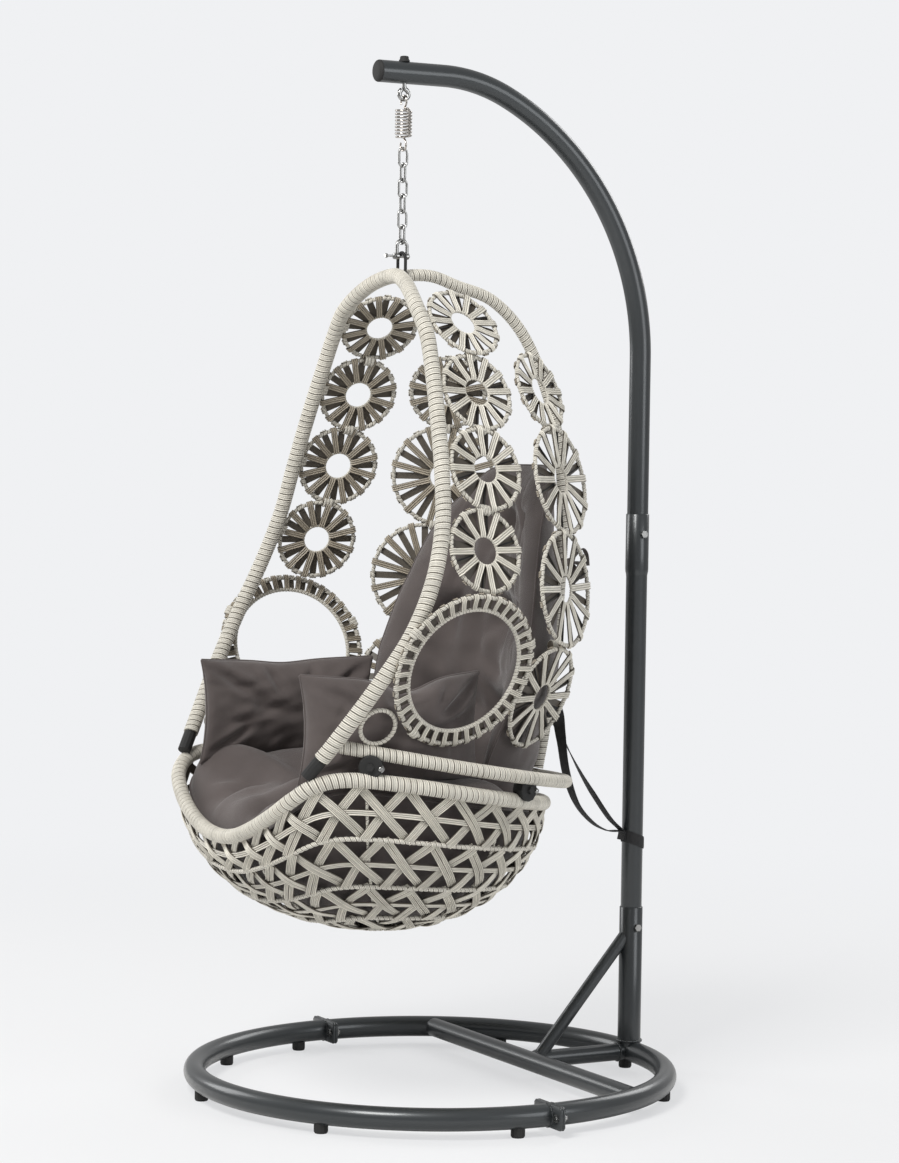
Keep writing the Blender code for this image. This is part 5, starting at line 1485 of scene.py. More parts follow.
@dataclass
class Shell:
    """Egg-shaped shell: wound frame and the columns of wheels on both sides."""
    egg: Egg
    rim_tube: float = 0.028
    spine_tube: float = 0.022
    sill_tube: float = 0.024
    bowl_tube: float = 0.027
    side_wheels: tuple = ((-.092, .1875, .0765), (-.2218, .1521, .078), (-.3625, .1396, .081),
                          (-.5099, .1352, .081))
    back_wheels: tuple = ((-.215, .475, .077), (-.3814, .475, .104), (-.5838, .4867, .110),
                          (-.7852, .5043, .102))
    arm_ring: Triple = (-.725, .1885, .148)
    small_ring: Triple = (-.8254, .0677, .0335)
    clamp_places: tuple = (("front", -0.190), ("rear", 0.130))
    front_tape: float = 0.0136
    back_tape: float = 0.0130
    rung_tape: float = 0.0108

    def build(self) -> None:
        """Frame, wheels, rings and what joins them."""
        self.tubes()
        for side in Side:
            self.columns(side)
            self.rings(side)
        self.joiners()

    def tubes(self) -> None:
        """The four wound tubes, sill and spine stopping inside the rim and the sill."""
        egg = self.egg
        wound(egg.world(egg.rim_line), self.rim_tube / 2, (0, 1, 0)).placed(
            "rim_wound", WOUND, Rides.CHAIR, ["shell_rim"])
        wound(egg.world(egg.sill_line), self.sill_tube / 2, (0, 0, 1)).placed(
            "sill_wound", WOUND, Rides.CHAIR, ["shell_sill"])
        wound(egg.world(egg.back_line), self.spine_tube / 2, (1, 0, 0)).placed(
            "spine_wound", WOUND, Rides.CHAIR, ["shell_spine"])
        wound(egg.world(egg.bowl_line), self.bowl_tube / 2, (0, 0, 1), closed=True).placed(
            "bowl_rim_wound", WOUND, Rides.CHAIR, ["bowl_rim"])

    def columns(self, side: Side) -> None:
        """Both columns of wheels on one side, with the bindings between neighbours.

        Args:
            side: Side of the chair.
        """
        name = side.name.lower()
        for label, rows in (("side_wheels", self.side_wheels),
                            ("back_wheels", self.back_wheels)):
            front, back, wires = Body(), Body(), Body()
            wheels = [Wheel(self.egg, *row) for row in rows]
            for wheel in wheels:
                front.join(wheel.rings())
                front.join(wheel.layer(Layer.FRONT, Tape(self.front_tape)))
                back.join(wheel.layer(Layer.BACK, Tape(self.back_tape)))
                wires.join(wheel.wires())
            for upper, lower in zip(wheels, wheels[1:]):
                way = unit(lower.centre - upper.centre)
                front.join(self.binding(upper.centre + way * (upper.radius - 0.0025),
                                        upper.normal + lower.normal, way))
            for wheel in wheels if label == "side_wheels" else ():
                rim = self.egg.world(self.egg.rim_line)
                near = rim[np.argmin(np.linalg.norm(rim - wheel.centre, axis=1))]
                way = unit(near - wheel.centre)
                front.join(self.binding(wheel.centre + way * wheel.radius, wheel.normal, way,
                                        0.012))
            node = "%s_%s" % (label, name)
            front.flipped(side).placed(node + "_woven", STRAND, Rides.CHAIR, [node])
            # The back layer wears the darker strand copy, which is painted shade.
            back.flipped(side).placed(node + "_behind", SHADED_STRAND, Rides.CHAIR)
            wires.flipped(side).placed(node + "_wires", PLASTIC, Rides.CHAIR)

    @staticmethod
    def binding(place: Array, normal: Array, way: Array, reach: float = 0.0105) -> Body:
        """Strand wrapped round two neighbouring rings, as a short oval tube across the way.

        Args:
            place: Middle of the binding.
            normal: Normal of the wheels there.
            way: Direction from one ring to the other.
            reach: Half its length along the way.

        Returns:
            The piece.
        """
        normal = unit(normal)
        way = unit(way - (way @ normal) * normal)
        tangent = np.cross(normal, way)
        path = place + np.linspace(-0.0095, 0.0095, 15)[:, None] * tangent
        turn = np.arange(12) * TAU / 12
        run = np.linspace(0, 3, 15)
        full = 0.80 + 0.2 * np.abs(np.sin(math.pi * run))[:, None]
        points = path[:, None] + full[..., None] * (
            reach * np.cos(turn)[:, None] * way + 0.0076 * np.sin(turn)[:, None] * normal)
        faces, caps = quads(15, 12), [range(11, -1, -1), range(168, 180)]
        if np.cross(way, normal) @ tangent < 0:
            faces, caps = faces[:, ::-1], [cap[::-1] for cap in caps]
        marks = winding_marks(np.broadcast_to(run[:, None], (15, 12)), 0.0)
        return Body().add(points, faces, caps, marks)

    def rings(self, side: Side) -> None:
        """Arm ring and the small ring in the front corner.

        Args:
            side: Side of the chair.
        """
        name = side.name.lower()
        ring = ArmRing(self.egg, *self.arm_ring)
        front = ring.rings().join(ring.layer(Layer.FRONT, Tape(self.rung_tape)))
        for turn in (0.35, 2.6, 4.1):
            way = math.cos(turn) * ring.back + math.sin(turn) * ring.up
            front.join(self.binding(ring.centre + way * (ring.radius - 0.003), ring.normal, way,
                                    0.009))
        front.flipped(side).placed("arm_ring_%s_woven" % name, STRAND, Rides.CHAIR,
                                   ["arm_ring_" + name])
        # The back rungs wear the darker strand copy, which is painted shade.
        ring.layer(Layer.BACK, Tape(self.rung_tape)).flipped(side).placed(
            "arm_ring_%s_behind" % name, SHADED_STRAND, Rides.CHAIR)
        height, along, radius = self.small_ring
        small = Wheel(self.egg, height, along, radius)
        rope(small.circle(radius), 0.0042, small.normal, pitch=0.008).flipped(side).placed(
            "small_ring_%s_wound" % name, WOUND, Rides.CHAIR, ["small_ring_" + name])

    def joiners(self) -> None:
        """Bright bolt heads of the clamps, which stay in view as solids."""
        egg = self.egg
        sill, bowl = egg.world(egg.sill_line), egg.world(egg.bowl_line)
        for side in Side:
            for label, y in self.clamp_places:
                half = sill[sill[:, 0] * side.value > 0.05]
                upper = half[np.argmin(np.abs(half[:, 1] - egg.place[1] - y))]
                lower = bowl[np.argmin(np.linalg.norm(bowl - upper, axis=1))]
                middle = (upper + lower) / 2
                out = unit(np.array((middle[0], middle[1] - egg.place[1], 0.0)))
                rows = [(0.0134, 0.0070), (0.0146, 0.0070), (0.0148, 0.0046), (0.0190, 0.0046),
                        (0.0204, 0.0034), (0.0210, 0.0012)]
                lathed(middle, out, rows, 24).placed(
                    "clamp_bolt_%s_%s" % (side.name.lower(), label), ZINC, Rides.CHAIR)


@dataclass
class Bowl:
    """Woven bowl under the seat: hoops, ribs and two crossing sets of strands in tiers."""
    egg: Egg
    tiers: tuple = (0.10, 0.34, 0.56, 0.78, 0.985)
    pairs: tuple = (13, 20, 25, 27)
    lean: float = 1.06
    ribs: int = 8
    lift: float = 0.0036
    strand_width: float = 0.0098
    hub_bands: Triple = (0.03, 0.055, 0.08)
    band_lift: float = 0.0005
    hoop_lift: float = 0.0015

    def build(self) -> None:
        """Weave the bowl."""
        body = Body()
        for low, high, count in zip(self.tiers, self.tiers[1:], self.pairs):
            for way in (1, -1):
                body.join(self.diagonals(low, high, count, way))
        for low, high in zip(self.tiers[1:], self.tiers[2:]):
            body.join(self.band((low + high) / 2))
        for rise in self.hub_bands:
            body.join(self.band(rise))
        body.placed("bowl_weave", STRAND, Rides.CHAIR, ["bowl_lattice"])
        frame = Body()
        for rise in self.tiers[:-1]:
            frame.join(self.hoop(rise))
        for k in range(self.ribs):
            frame.join(self.rib((k + 0.5) / self.ribs))
        frame.placed("bowl_hoops", WOUND, Rides.CHAIR)

    def diagonals(self, low: float, high: float, count: int, way: int) -> Body:
        """One tier's pairs of strands that lean one way, over and under the others.

        Args:
            low: Where the tier starts.
            high: Where it ends.
            count: Pairs in the tier.
            way: 1 to lean one way, -1 the other.

        Returns:
            The piece.
        """
        t = np.linspace(0, 1, 11)[None, :]
        k = np.arange(count)[:, None]
        uneven = 0.10 * np.sin(7.3 * k + 31 * low) * (0.4 + t)
        turn = (k + uneven + way * self.lean * (t - 0.5)) / count
        rise = low + (high - low) * np.broadcast_to(t, turn.shape)
        weave = way * self.lift * np.cos(math.pi * 2 * self.lean * (t - 0.5))
        normal = self.egg.bowl_normal(turn, rise)
        path = self.egg.world(self.egg.bowl_at(turn, rise)) + weave[..., None] * normal
        aside = unit(np.cross(normal, unit(np.gradient(path, axis=1))))
        body = Body()
        for side in (1, -1):
            off = side * self.strand_width * (0.46 + 0.10 * np.sin(5.1 * k + side + 3 * t))
            body.join(Tape(self.strand_width).along(path + off[..., None] * aside, normal, low))
        return body

    def line(self, turn: Array, rise: Array, off: float) -> tuple[Array, Array]:
        """Path over the bowl.

        Args:
            turn: Place round the rim at each point, 0 to 1, or one for all.
            rise: Place up the bowl at each point, 0 to 1, or one for all.
            off: Distance that the path lies outside the bowl.

        Returns:
            The path and the bowl's outward normal along it.
        """
        turn, rise = np.broadcast_arrays(np.asarray(turn, float), np.asarray(rise, float))
        normal = self.egg.bowl_normal(turn, rise)
        return self.egg.world(self.egg.bowl_at(turn, rise)) + off * normal, normal

    def band(self, rise: float) -> Body:
        """Level strand all the way round."""
        return Tape().along(*self.line(np.linspace(0, 1, 121), rise, self.band_lift))

    def hoop(self, rise: float) -> Body:
        """Hoop of wrapped wire inside the weave.

        Args:
            rise: Place up the bowl.

        Returns:
            The hoop.
        """
        path, _ = self.line(np.linspace(0, 1, 400, endpoint=False), rise, self.hoop_lift)
        return rope(even(np.vstack([path, path[:1]]), 0.0025, True), 0.0046, (0, 0, 1),
                    pitch=0.010, sides=8)

    def rib(self, turn: float) -> Body:
        """Upright wire from near the bottom to the bowl's rim.

        Args:
            turn: Place round the rim.

        Returns:
            The wire.
        """
        path, _ = self.line(turn, np.linspace(0.02, 0.97, 70), -0.0045)
        return rope(even(path, 0.0025), 0.0032, (0.31, 0.22, 0.13), closed=False, pitch=0.010,
                    sides=8)


# --- cushions ---
def flat_strap(path: Array, half: Array, along: Array, width: float, thick: float) -> Body:
    """Flat strap with eased edges.

    Args:
        path: Middle line.
        half: Direction of the width at each point.
        along: Length for the marks at each point.
        width: Width.
        thick: Thickness.

    Returns:
        The strap, its ends capped.
    """
    tangent = unit(np.gradient(path, axis=0))
    half = unit(half - (half * tangent).sum(1, keepdims=True) * tangent)
    face = unit(np.cross(tangent, half))
    u = np.array((-1, -0.6, 0, 0.6, 1, 1, 0.6, 0, -0.6, -1))
    n = np.array((0.6, 1, 1, 1, 0.6, -0.6, -1, -1, -1, -0.6))
    points = (path[:, None] + width / 2 * u[:, None] * half[:, None]
              + thick / 2 * n[:, None] * face[:, None])
    marks = np.stack([np.broadcast_to(u, points.shape[:2]),
                      np.broadcast_to(along[:, None], points.shape[:2]),
                      np.zeros(points.shape[:2])], -1)
    last = (len(path) - 1) * 10
    return Body().add(points, quads(len(path), 10)[:, ::-1],
                      [range(10), range(last + 9, last - 1, -1)], marks)


@dataclass(frozen=True)
class Crease:
    """Fold from one place to another on a cushion's face, in its -1 to 1 measures."""
    start: tuple[float, float]
    end: tuple[float, float]
    depth: float = 0.006
    width: float = 0.06

    def sink(self, u: Array, v: Array) -> Array:
        """How far it lets the face in: a bell across its line, a little puffed beside it.

        Args:
            u: Place across, -1 to 1.
            v: Place up, -1 to 1.

        Returns:
            Depth at each place.
        """
        a, b = np.array(self.start), np.array(self.end)
        way = b - a
        t = np.clip(((u - a[0]) * way[0] + (v - a[1]) * way[1]) / (way @ way), 0, 1)
        away = np.hypot(u - a[0] - t * way[0], v - a[1] - t * way[1]) / self.width
        fade = np.sin(math.pi * (0.08 + 0.84 * t))
        return self.depth * fade * (np.exp(-away ** 2) - 0.35 * np.exp(-(away - 2.1) ** 2))


def folds(creases: Iterable[Crease], u: Array, v: Array) -> Array:
    """Sum of what the creases let in."""
    return sum((crease.sink(u, v) for crease in creases), np.zeros_like(u))


def eased(sink: Array, limit: Array) -> Array:
    """Sink that nears the limit and never reaches it, so that two faces keep apart."""
    limit = np.maximum(limit, 1e-5)
    return limit * (1 - np.exp(-sink / limit))


def crumple(u: Array, v: Array, seed: float = 0.0) -> Array:
    """Thin folds of slack cloth, from 0 to about 2.

    Three sets of lines, each bent by slow waves; across a line the fold is a bell of a sine,
    and another slow wave makes it come and go.

    Args:
        u: Place across, -1 to 1.
        v: Place up, -1 to 1.
        seed: Shift of the waves.

    Returns:
        Depth at each place.
    """
    total = np.zeros(np.broadcast(u, v).shape)
    for k, (lean, pitch, depth) in enumerate(((0.5, 2.3, 1.0), (1.9, 3.1, 0.8), (2.8, 4.3, 0.6))):
        line = (pitch * (u * math.cos(lean) + v * math.sin(lean)) + 0.9 * np.sin(2.1 * v + 1.3 * k
                + seed) + 0.7 * np.sin(2.7 * u - k + seed))
        fade = 0.5 + 0.5 * np.sin(1.7 * u * (k + 1) + 2.3 * v + 1.7 * seed + k)
        total += depth * fade * np.exp(-(np.sin(line) / 0.30) ** 2)
    return total


def two_faced(point: Callable[[Array, Array, int], Array], columns: int, rows: int,
              piping: float = 0.0022) -> Body:
    """Cushion of a front and a back face that meet in a piped seam.

    The grid lies closer towards the edges: each measure is the sine of an even one.

    Args:
        point: Gives the points for u, v and the face, 1 or -1.
        columns: Faces along u.
        rows: Faces along v.
        piping: Radius of the cord in the seam.

    Returns:
        The closed cushion and its piping.
    """
    u = np.sin(np.linspace(-1, 1, columns + 1) * math.pi / 2)[None, :]
    v = np.sin(np.linspace(-1, 1, rows + 1) * math.pi / 2)[:, None]
    u, v = np.broadcast_arrays(u, v)
    front, rear = point(u, v, 1), point(u, v, -1)
    wide = columns + 1
    per_face = wide * (rows + 1)
    grid = quads(rows + 1, wide, wrap_columns=False)
    border = np.r_[np.arange(wide), np.arange(1, rows + 1) * wide + columns,
                   rows * wide + np.arange(columns - 1, -1, -1),
                   np.arange(rows - 1, 0, -1) * wide]
    following = np.roll(border, -1)
    strip = np.stack([border, per_face + border, per_face + following, following], 1)
    faces = np.vstack([grid, per_face + grid[:, ::-1], strip])
    points = np.vstack([front.reshape(-1, 3), rear.reshape(-1, 3)])
    middle = points[:per_face].mean(0) - points[per_face:].mean(0)
    a, b, c, _ = points[grid[len(grid) // 2]]
    if np.cross(b - a, c - a) @ middle < 0:
        faces = faces[:, ::-1]
    seam = (points[border] + points[per_face + border]) / 2
    body = Body().add(points, faces)
    return body.join(swept(even(np.vstack([seam, seam[:1]]), 0.004, True), piping,
                           unit(middle), 8, closed=True))


class Anchor(Enum):
    """Which end of a node's box a body is set to: its low end, middle or high end."""
    LOW = 0.0
    MIDDLE = 0.5
    HIGH = 1.0


def moved_to(body: Body, node: str, anchor: Anchor = Anchor.MIDDLE,
             axes: Sequence[int] = (0, 1, 2)) -> Body:
    """Move a body along the axes so that its box meets the node's box at the anchor.

    Args:
        body: Body to move.
        node: Node whose box it is set to.
        anchor: End of the boxes that meet.
        axes: Axes that it moves along.

    Returns:
        The body itself.
    """
    low, high = (np.array(corner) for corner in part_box(node))
    points = np.vstack(body.points)
    share = anchor.value
    shift = (low * (1 - share) + high * share
             - points.min(0) * (1 - share) - points.max(0) * share)
    mask = np.zeros(3)
    mask[list(axes)] = 1.0
    body.points = [part + shift * mask for part in body.points]
    return body


@dataclass
class Cushions:
    """Seat, back and arm cushions."""
    egg: Egg
    seat_crown: float = 0.070
    seat_clear: float = 0.022
    back_heights: tuple[float, float] = (-0.900, -0.290)
    back_thick: float = 0.080
    back_spread: float = 0.56
    stand_off: float = 0.0153
    tuft: float = 0.038
    pillow: Triple = (0.370, 0.200, 0.095)
    pillow_draw: float = 0.07
    pillow_bend: float = 0.045
    tie_height: float = -0.545
    tie_back: float = 0.362
    corner_drop: float = 0.050
    foot_drop: float = 0.030

    def build(self) -> None:
        """Make the four cushions and the ribbon behind the tall one."""
        self.finish(moved_to(self.seat(), "seat_cushion", Anchor.LOW, (2,)), "seat_cushion", 0.65)
        self.finish(moved_to(self.back(), "back_cushion", Anchor.HIGH, (1, 2)), "back_cushion",
                    0.6)
        right = (((0.05, 1.0), (-0.10, 0.1), 0.020, 0.16),
                 ((-0.95, 0.9), (-0.30, 0.25), 0.011, 0.08),
                 ((0.95, 0.9), (0.4, 0.3), 0.012, 0.07), ((-0.95, -0.9), (-0.4, -0.4), 0.010),
                 ((0.5, 0.9), (0.3, 0.4), 0.008), ((-0.5, 0.95), (-0.42, 0.45), 0.008),
                 ((0.8, 0.3), (0.3, 0.0), 0.007))
        left = (((-0.95, 0.9), (-0.3, 0.2), 0.013, 0.08), ((0.95, 0.9), (0.45, 0.2), 0.012, 0.07),
                ((-0.2, 0.95), (-0.05, 0.35), 0.009), ((0.9, -0.9), (0.4, -0.5), 0.010),
                ((-0.6, 0.2), (0.1, -0.1), 0.008, 0.10), ((0.35, 0.95), (0.28, 0.5), 0.007),
                ((-0.9, -0.8), (-0.45, -0.3), 0.010))
        for side, rows in ((Side.RIGHT, right), (Side.LEFT, left)):
            node = "arm_pillow_" + side.name.lower()
            body = self.arm_pillow([Crease(*row) for row in rows], side).flipped(side)
            self.finish(moved_to(body, node), node, 0.7)
        self.tie()

    def tie(self) -> None:
        """Ribbon of the cover's cloth tied round the spine, with its knot and two ends."""
        middle = self.egg.world(np.array((0.0, self.tie_back, self.tie_height)))
        ring = ((-0.010, -0.040, 0), (-0.0165, -0.012, 0.001), (-0.013, 0.009, 0),
                (0, 0.0165, -0.001), (0.013, 0.009, 0), (0.0165, -0.012, 0), (0.010, -0.040, 0))
        knot = (0.002, 0.019, 0)
        long_end = (knot, (0.012, 0.030, 0.018), (0.018, 0.038, 0.026), (0.024, 0.044, 0.016),
                    (0.026, 0.046, -0.006))
        short_end = (knot, (-0.010, 0.030, -0.016), (-0.014, 0.036, -0.040),
                     (-0.008, 0.034, -0.064))
        loop = (knot, (0.020, 0.030, -0.002), (0.034, 0.036, -0.018), (0.024, 0.034, -0.030),
                (0.004, 0.022, -0.004))
        body = Body()
        for points, width, across in ((ring, 0.013, (0, 0, 1)), (long_end, 0.013, (1, 0, 0.2)),
                                      (short_end, 0.013, (1, 0.3, 0)), (loop, 0.012, (0, 1, 0.3))):
            path = spline(middle + np.array(points, float), 0.003)
            half = np.broadcast_to(np.array(across, float), path.shape)
            body.join(flat_strap(path, half, lengths(path), width, 0.0020))
        body.join(lathed(middle + (0.002, 0.012, 0), (0, 1, 0),
                         [(0, 0.0050), (0.003, 0.0078), (0.007, 0.0086), (0.011, 0.0074),
                          (0.0135, 0.0040)], 20))
        body.placed("cushion_tie", CLOTH, Rides.CHAIR)

    @staticmethod
    def finish(body: Body, node: str, fill: float) -> None:
        """Dress a cushion."""
        body.placed(node + "_cover", CLOTH, Rides.CHAIR, [node])

    def arm_pillow(self, creases: Sequence[Crease], side: Side) -> Body:
        """Pillow on edge, corners pointed.

        Its half thickness goes with (1 - u^2)(1 - v^2) to a power below a half, and both
        ends lean in with the square of the distance from the middle.

        Args:
            creases: Folds on both faces.
            side: Side, though the pillow is made on the right.

        Returns:
            The piece.
        """
        long, high, thick = self.pillow

        def point(u: Array, v: Array, face: int) -> Array:
            """Place for u along, v up.

            Args:
                u: Place along, -1 to 1.
                v: Place up, -1 to 1.
                face: 1 for the outer face, -1 for the inner.

            Returns:
                Points.
            """
            full = (np.maximum(0, 1 - u * u) * np.maximum(0, 1 - v * v)) ** 0.42
            dip = 0.024 * np.exp(-((u - 0.05) / 0.30) ** 2) * np.maximum(0, v) ** 2
            dip = dip if side is Side.RIGHT else dip * 0.25
            sag = folds(creases, u, v) * full ** 0.3
            sag += 0.006 * crumple(1.3 * u, v, side.value + face) * full
            sag = eased(sag, 0.7 * thick / 2 * full)
            slack = full * (0.0030 * np.sin(9 * u + 4 * v) * np.sin(6 * v - 3 * u)
                            + 0.0016 * np.sin(17 * u - 9 * v) * np.sin(11 * v + 5 * u))
            x = face * (0.0010 + thick / 2 * full - sag + slack) - self.pillow_bend * u * u
            y = long / 2 * u * (1 - self.pillow_draw * (1 - v * v))
            z = high / 2 * v * (1 - self.pillow_draw * (1 - u * u)) - dip
            return np.stack([x, y, z], -1)
        return two_faced(point, 88, 60)

    def back(self) -> Body:
        """Tall pad along the shell's back, tufted in three rows of three with folds between.

        Returns:
            The piece.
        """
        low, high = self.back_heights
        spots = [(u, v) for u in (-0.62, 0.0, 0.62) for v in (-0.60, 0.02, 0.62)]
        lines = [Crease((-0.95, v), (0.95, v), 0.017, 0.105) for v in (-0.60, 0.02, 0.62)]
        lines += [Crease((u, -0.92), (u * 0.9, 0.92), 0.009, 0.09) for u in (-0.62, 0.0, 0.62)]
        lines += [Crease((u, v), (u + du, v + dv), 0.010, 0.05) for u, v in spots
                  for du, dv in ((0.20, 0.16), (-0.18, 0.20), (0.14, -0.22), (-0.22, -0.12))]

        def point(u: Array, v: Array, face: int) -> Array:
            """Place for u across, v up.

            Args:
                u: Place across, -1 to 1.
                v: Place up, -1 to 1.
                face: 1 for the front, -1 for the rear.

            Returns:
                Points.
            """
            height = low + (high - low) * (v + 1) / 2
            height = height - self.corner_drop * u ** 6 * np.maximum(0, v) ** 3
            height = height - self.foot_drop * (1 - u * u) * np.maximum(0, -v) ** 3
            narrow = 1 - 0.30 * np.maximum(0, v) ** 2 - 0.05 * np.abs(v) ** 7
            place, normal, _, _ = self.egg.frame(height, 1 - np.abs(u) * self.back_spread * narrow)
            flip = np.stack([np.where(u >= 0, 1.0, -1.0)] + [np.ones_like(u)] * 2, -1)
            place, normal = place * flip, normal * flip
            normal[..., 0] = np.where(np.abs(u) < 0.01, 0.0, normal[..., 0])
            normal = unit(normal)
            full = ((1 - u ** 4) * (1 - v ** 4)) ** 0.5
            depth = np.full(u.shape, self.stand_off + 0.006)
            if face > 0:
                pit = sum(np.exp(-((u - a) ** 2 + (v - b) ** 2) / 0.010) for a, b in spots)
                loose = 0.006 * crumple(1.7 * u, 2.3 * v, 2.0)
                sink = (self.tuft * pit + folds(lines, u, v) + loose) * full
                depth = depth + (self.back_thick * full
                                 - eased(sink, 0.66 * self.back_thick * full))
            else:
                pit = sum(np.exp(-((u - a) ** 2 + (v - b) ** 2) / 0.012) for a, b in spots)
                sink = 0.016 * pit + 0.5 * folds(lines, u, v) + 0.003 * crumple(1.7 * u, 2.3 * v,
                                                                               5.0)
                depth = depth - 0.006 * full + eased(sink * full, 0.20 * self.back_thick * full)
            return self.egg.world(place - normal * depth[..., None])
        return two_faced(point, 96, 84)

    def seat(self) -> Body:
        """Cushion that fills the bowl and swells over its front lip in lobes.

        Rings rise along the bowl, turn over its edge and close over the crowned top; the
        lobes are the size of a sine round the cushion.

        Returns:
            The piece.
        """
        egg, clear = self.egg, self.seat_clear
        count = 160
        turn = np.arange(count) / count
        bottom = np.array(egg.bottom)

        def lower(rise: Array) -> Array:
            """Ring just inside the bowl.

            Args:
                rise: Places up the bowl.

            Returns:
                One ring of points for each.
            """
            out = egg.bowl_at(turn[None], rise[:, None]) - bottom
            flat = np.hypot(out[..., 0], out[..., 1])[..., None]
            keep = np.maximum(0.0, 1 - clear / np.maximum(flat, 1e-6))
            return bottom + out * np.concatenate([keep, keep, np.ones_like(keep)], -1)

        below = lower(np.linspace(0.11, 0.94, 24))
        edge = below[-1]
        centre = edge.mean(0)
        share = np.cos(np.linspace(0, math.pi / 2, 34)[1:-1]) ** 0.9
        lobes = np.abs(np.sin(math.pi * 7 * (turn - 0.5) + math.pi / 2)) ** 0.5
        crown = self.seat_crown * (1 - share ** 3)
        rim = share ** 5
        top = centre + (edge - centre)[None] * share[:, None, None]
        ahead = centre[1] - edge[:, 1]
        swell = (0.026 + 0.066 * np.clip((ahead - 0.08) / 0.2, 0, 1)
                 + 0.085 * np.clip((-ahead - 0.06) / 0.12, 0, 1))
        top[..., 2] += crown[:, None] + (rim * (1 - share ** 14))[:, None] * lobes * swell
        x, y = top[..., 0], top[..., 1] - centre[1]
        wrinkles = [Crease(*row) for row in (
            ((0.02, -0.40), (0.10, 0.06), 0.034, 0.026),
            ((-0.30, -0.12), (0.26, -0.04), 0.020, 0.028),
            ((-0.24, -0.26), (-0.02, -0.12), 0.013, 0.018),
            ((0.08, -0.22), (0.27, -0.18), 0.013, 0.018),
            ((-0.12, -0.36), (-0.10, -0.16), 0.014, 0.013),
            ((0.15, -0.34), (0.12, -0.10), 0.012, 0.012),
            ((-0.16, 0.10), (0.20, 0.12), 0.010, 0.016))]
        loose = folds(wrinkles, x, y) + 0.006 * crumple(x / 0.17, y / 0.19, 1.0)
        top[..., 2] -= loose * (1 - share ** 10)[:, None]
        rows = np.vstack([below, top])
        first = rows[0].mean(0) - (0, 0, 0.0042)
        points = np.vstack([rows.reshape(-1, 3), first[None], (rows[-1].mean(0))[None]])
        grid = quads(len(rows), count)
        j = np.arange(count)
        j2, base, size = np.roll(j, -1), (len(rows) - 1) * count, len(rows) * count
        fans = np.vstack([np.stack([j2, j, 0 * j + size], 1),
                          np.stack([base + j, base + j2, 0 * j + size + 1], 1)])
        a, b, c, _ = points[grid[count * 6]]
        out = np.cross(b - a, c - a) @ (a - centre) > 0
        faces = grid if out else grid[:, ::-1]
        fans = fans if out else fans[:, ::-1]
        body = Body().add(egg.world(points), faces, fans)
        seam = egg.world(edge + (edge - centre) * 0.001)
        return body.join(swept(even(np.vstack([seam, seam[:1]]), 0.004, True), 0.0024, (0, 0, 1),
                               8, closed=True))


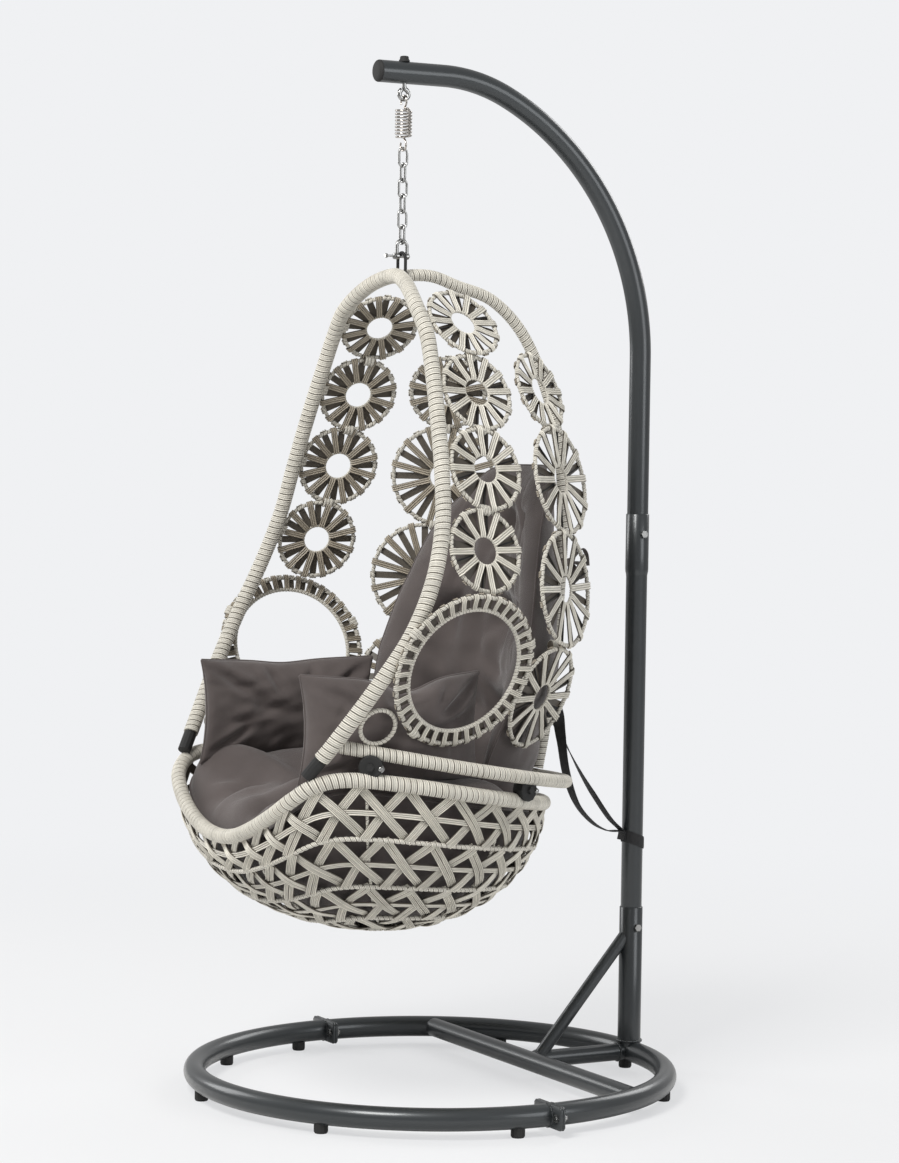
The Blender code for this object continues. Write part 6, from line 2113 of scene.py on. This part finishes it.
# --- tether strap ---
@dataclass
class Tether:
    """Webbing strap from the shell's spine to a cuff round the post."""
    egg: Egg
    drop: float = 0.835
    width: float = 0.024
    thick: float = 0.0022
    play: float = 0.0036
    spine_tube: float = 0.022
    post_y: float = 0.452
    post_tube: float = 0.021
    cuff: float = 0.470
    slope: float = 0.35
    tail: float = 0.012
    sags: tuple[float, float] = (0.056, 0.005)
    bows: tuple[float, float] = (0.20, 0.06)
    seat: float = 0.0003
    splits: tuple = (0.09, 0.24, 0.68, 0.81, 1.4)
    last_hold: float = 0.95
    inset: float = 0.006

    def build(self) -> None:
        """Cuff, loop round the spine and the two strands, in five pieces; only the first rides the
        chair.
        """
        spine = self.egg.world(self.egg.back_line)
        anchor = spine[np.argmin(np.abs(spine[:, 2] - (self.egg.place[2] - self.drop)))]
        wrap = self.spine_tube / 2 + self.thick / 2 + self.play
        outer = self.post_tube + self.seat + self.thick
        low_y = self.post_y - outer - self.seat - self.thick / 2
        self.band(outer)
        near = self.strand(anchor, wrap, low_y, 1, low_y - self.thick - 2 * self.seat)
        far = self.strand(anchor, wrap, low_y, -1, low_y)
        turn = np.radians(np.linspace(0, -180, 13))
        loop = anchor + wrap * np.stack([np.cos(turn), np.sin(turn), 0 * turn], 1)
        path = spline(np.vstack([near[::-1], loop, far]), 0.002)
        reach = np.hypot(path[:, 1] - anchor[1], path[:, 2] - anchor[2])
        t = np.minimum(1.0, reach / reach.max() * 1.6) * math.pi / 2
        half = unit(np.stack([np.sin(t), 0 * t, np.cos(t)], 1))
        half[path[:, 0] < -1e-6, 0] *= -1
        flips = np.cumprod(np.r_[1, np.where((half[1:] * half[:-1]).sum(1) < 0, -1, 1)])
        half = half * flips[:, None]
        top, bottom = anchor, np.array((0.0, low_y, self.cuff))
        way = unit(bottom - top)
        run = (path - top) @ way
        length = (bottom - top) @ way
        cuts = np.array(self.splits) * length
        middle = int(np.argmin(np.abs(path[:, 1] - path[:, 1].min())))
        LOG.info("strap: %.3f m of webbing", lengths(path)[-1])
        for k in range(5):
            low = -1.0 if k == 0 else cuts[k - 1]
            body = Body()
            parts = (np.arange(middle + 1), np.arange(middle, len(path)))
            for part in parts if k else (np.arange(len(path)),):
                inside = part[(run[part] >= low) & (run[part] <= cuts[k])]
                inside = np.arange(max(inside.min() - (k > 0) * (part[0] != 0 or k < 4), part[0]),
                                   min(inside.max() + 1, part[-1]) + 1)
                body.join(flat_strap(path[inside], half[inside], inside * 0.002, self.width,
                                     self.thick))
            obj = body.placed("tether_strap_%d" % (k + 1), STRAP,
                              Rides.CHAIR if k == 0 else None,
                              ["tether_strap"] if k == 0 else [])
            if k:
                tuple(top + way * (low + self.inset))
                tuple(top + way * (min(cuts[k], length * self.last_hold)
                                            - self.inset))
                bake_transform(obj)

    def strand(self, anchor: Array, wrap: float, low_y: float, side: int, end_y: float
               ) -> Array:
        """Points from the spine down to the cuff.

        Args:
            anchor: Where the strap goes round the spine.
            wrap: Radius of its loop there.
            low_y: Where the cuff's face is.
            side: 1 for the slack strand, -1 for the taut one.
            end_y: Where the strand ends.

        Returns:
            Points for a spline.
        """
        sag, bend = (pair[0 if side > 0 else 1] for pair in (self.sags, self.bows))
        t = np.array((0.12, 0.3, 0.5, 0.7, 0.86))
        span, fall = low_y - anchor[1] - wrap, anchor[2] - self.cuff
        bow = np.sin(math.pi * t)
        middle = np.stack([side * wrap * (1 - t), anchor[1] + wrap + span * (t - bend * bow),
                           anchor[2] - fall * t - sag * bow], 1)
        rise = self.width / 2 * 0.7
        return np.vstack([[(side * wrap, anchor[1] + self.tail, anchor[2])], middle,
                          [(0, end_y, self.cuff + rise), (0, end_y, self.cuff - rise)]])

    def band(self, outer: float) -> None:
        """Sloping cuff round the post: a flat band whose height falls as y grows.

        Args:
            outer: Radius over the cuff.
        """
        turn = np.linspace(0, TAU, 97)[:-1]
        across = np.linspace(-1, 1, 7)
        inner = self.post_tube + self.seat
        rows, marks = [], []
        for r, set_of in ((outer, across), (inner, across[::-1])):
            for a in set_of:
                ease = 0.0006 * (abs(a) > 0.99)
                size = r - ease if r == outer else r + ease
                x, y = size * np.cos(turn), size * np.sin(turn)
                z = self.cuff + a * self.width / 2 - self.slope * (y + outer)
                rows.append(np.stack([x, self.post_y + y, z], 1))
                marks.append(np.stack([0 * x + a, turn * outer, 0 * x], 1))
        faces = quads(len(rows), len(turn), wrap_rows=True)
        Body().add(np.array(rows), faces[:, ::-1], (), np.array(marks)).placed(
            "post_cuff", STRAP, Rides.STAND, ["post_strap_cuff"])


def dress_solids(nodes: dict[str, bpy.types.Object]) -> None:
    """Finishes of the CAD solids that stay in view: bolts, feet, plugs and clamps.

    Args:
        nodes: The frame's nodes by name.
    """
    for name, node in nodes.items():
        if name.startswith("foot_"):
            finish = RUBBER
        elif "bolt" in name:
            finish = ZINC
        else:
            finish = PLASTIC
        made = finish.material()
        for k in range(max(1, len(node.data.materials))):
            if k < len(node.data.materials):
                node.data.materials[k] = made
            else:
                node.data.materials.append(made)


def main() -> None:
    """Load the frame and dress it piece by piece."""
    logging.basicConfig(level=logging.INFO, format="%(name)s %(message)s")
    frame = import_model()
    bpy.context.scene.view_settings.view_transform = 'Standard'
    dress_solids(frame["nodes"])
    Studio().build()
    egg = Egg()
    for assembly in (Stand(), Suspension(), Shell(egg), Bowl(egg), Cushions(egg), Tether(egg)):
        LOG.info("building %s", type(assembly).__name__)
        assembly.build()


if __name__ == "__main__":
    main()
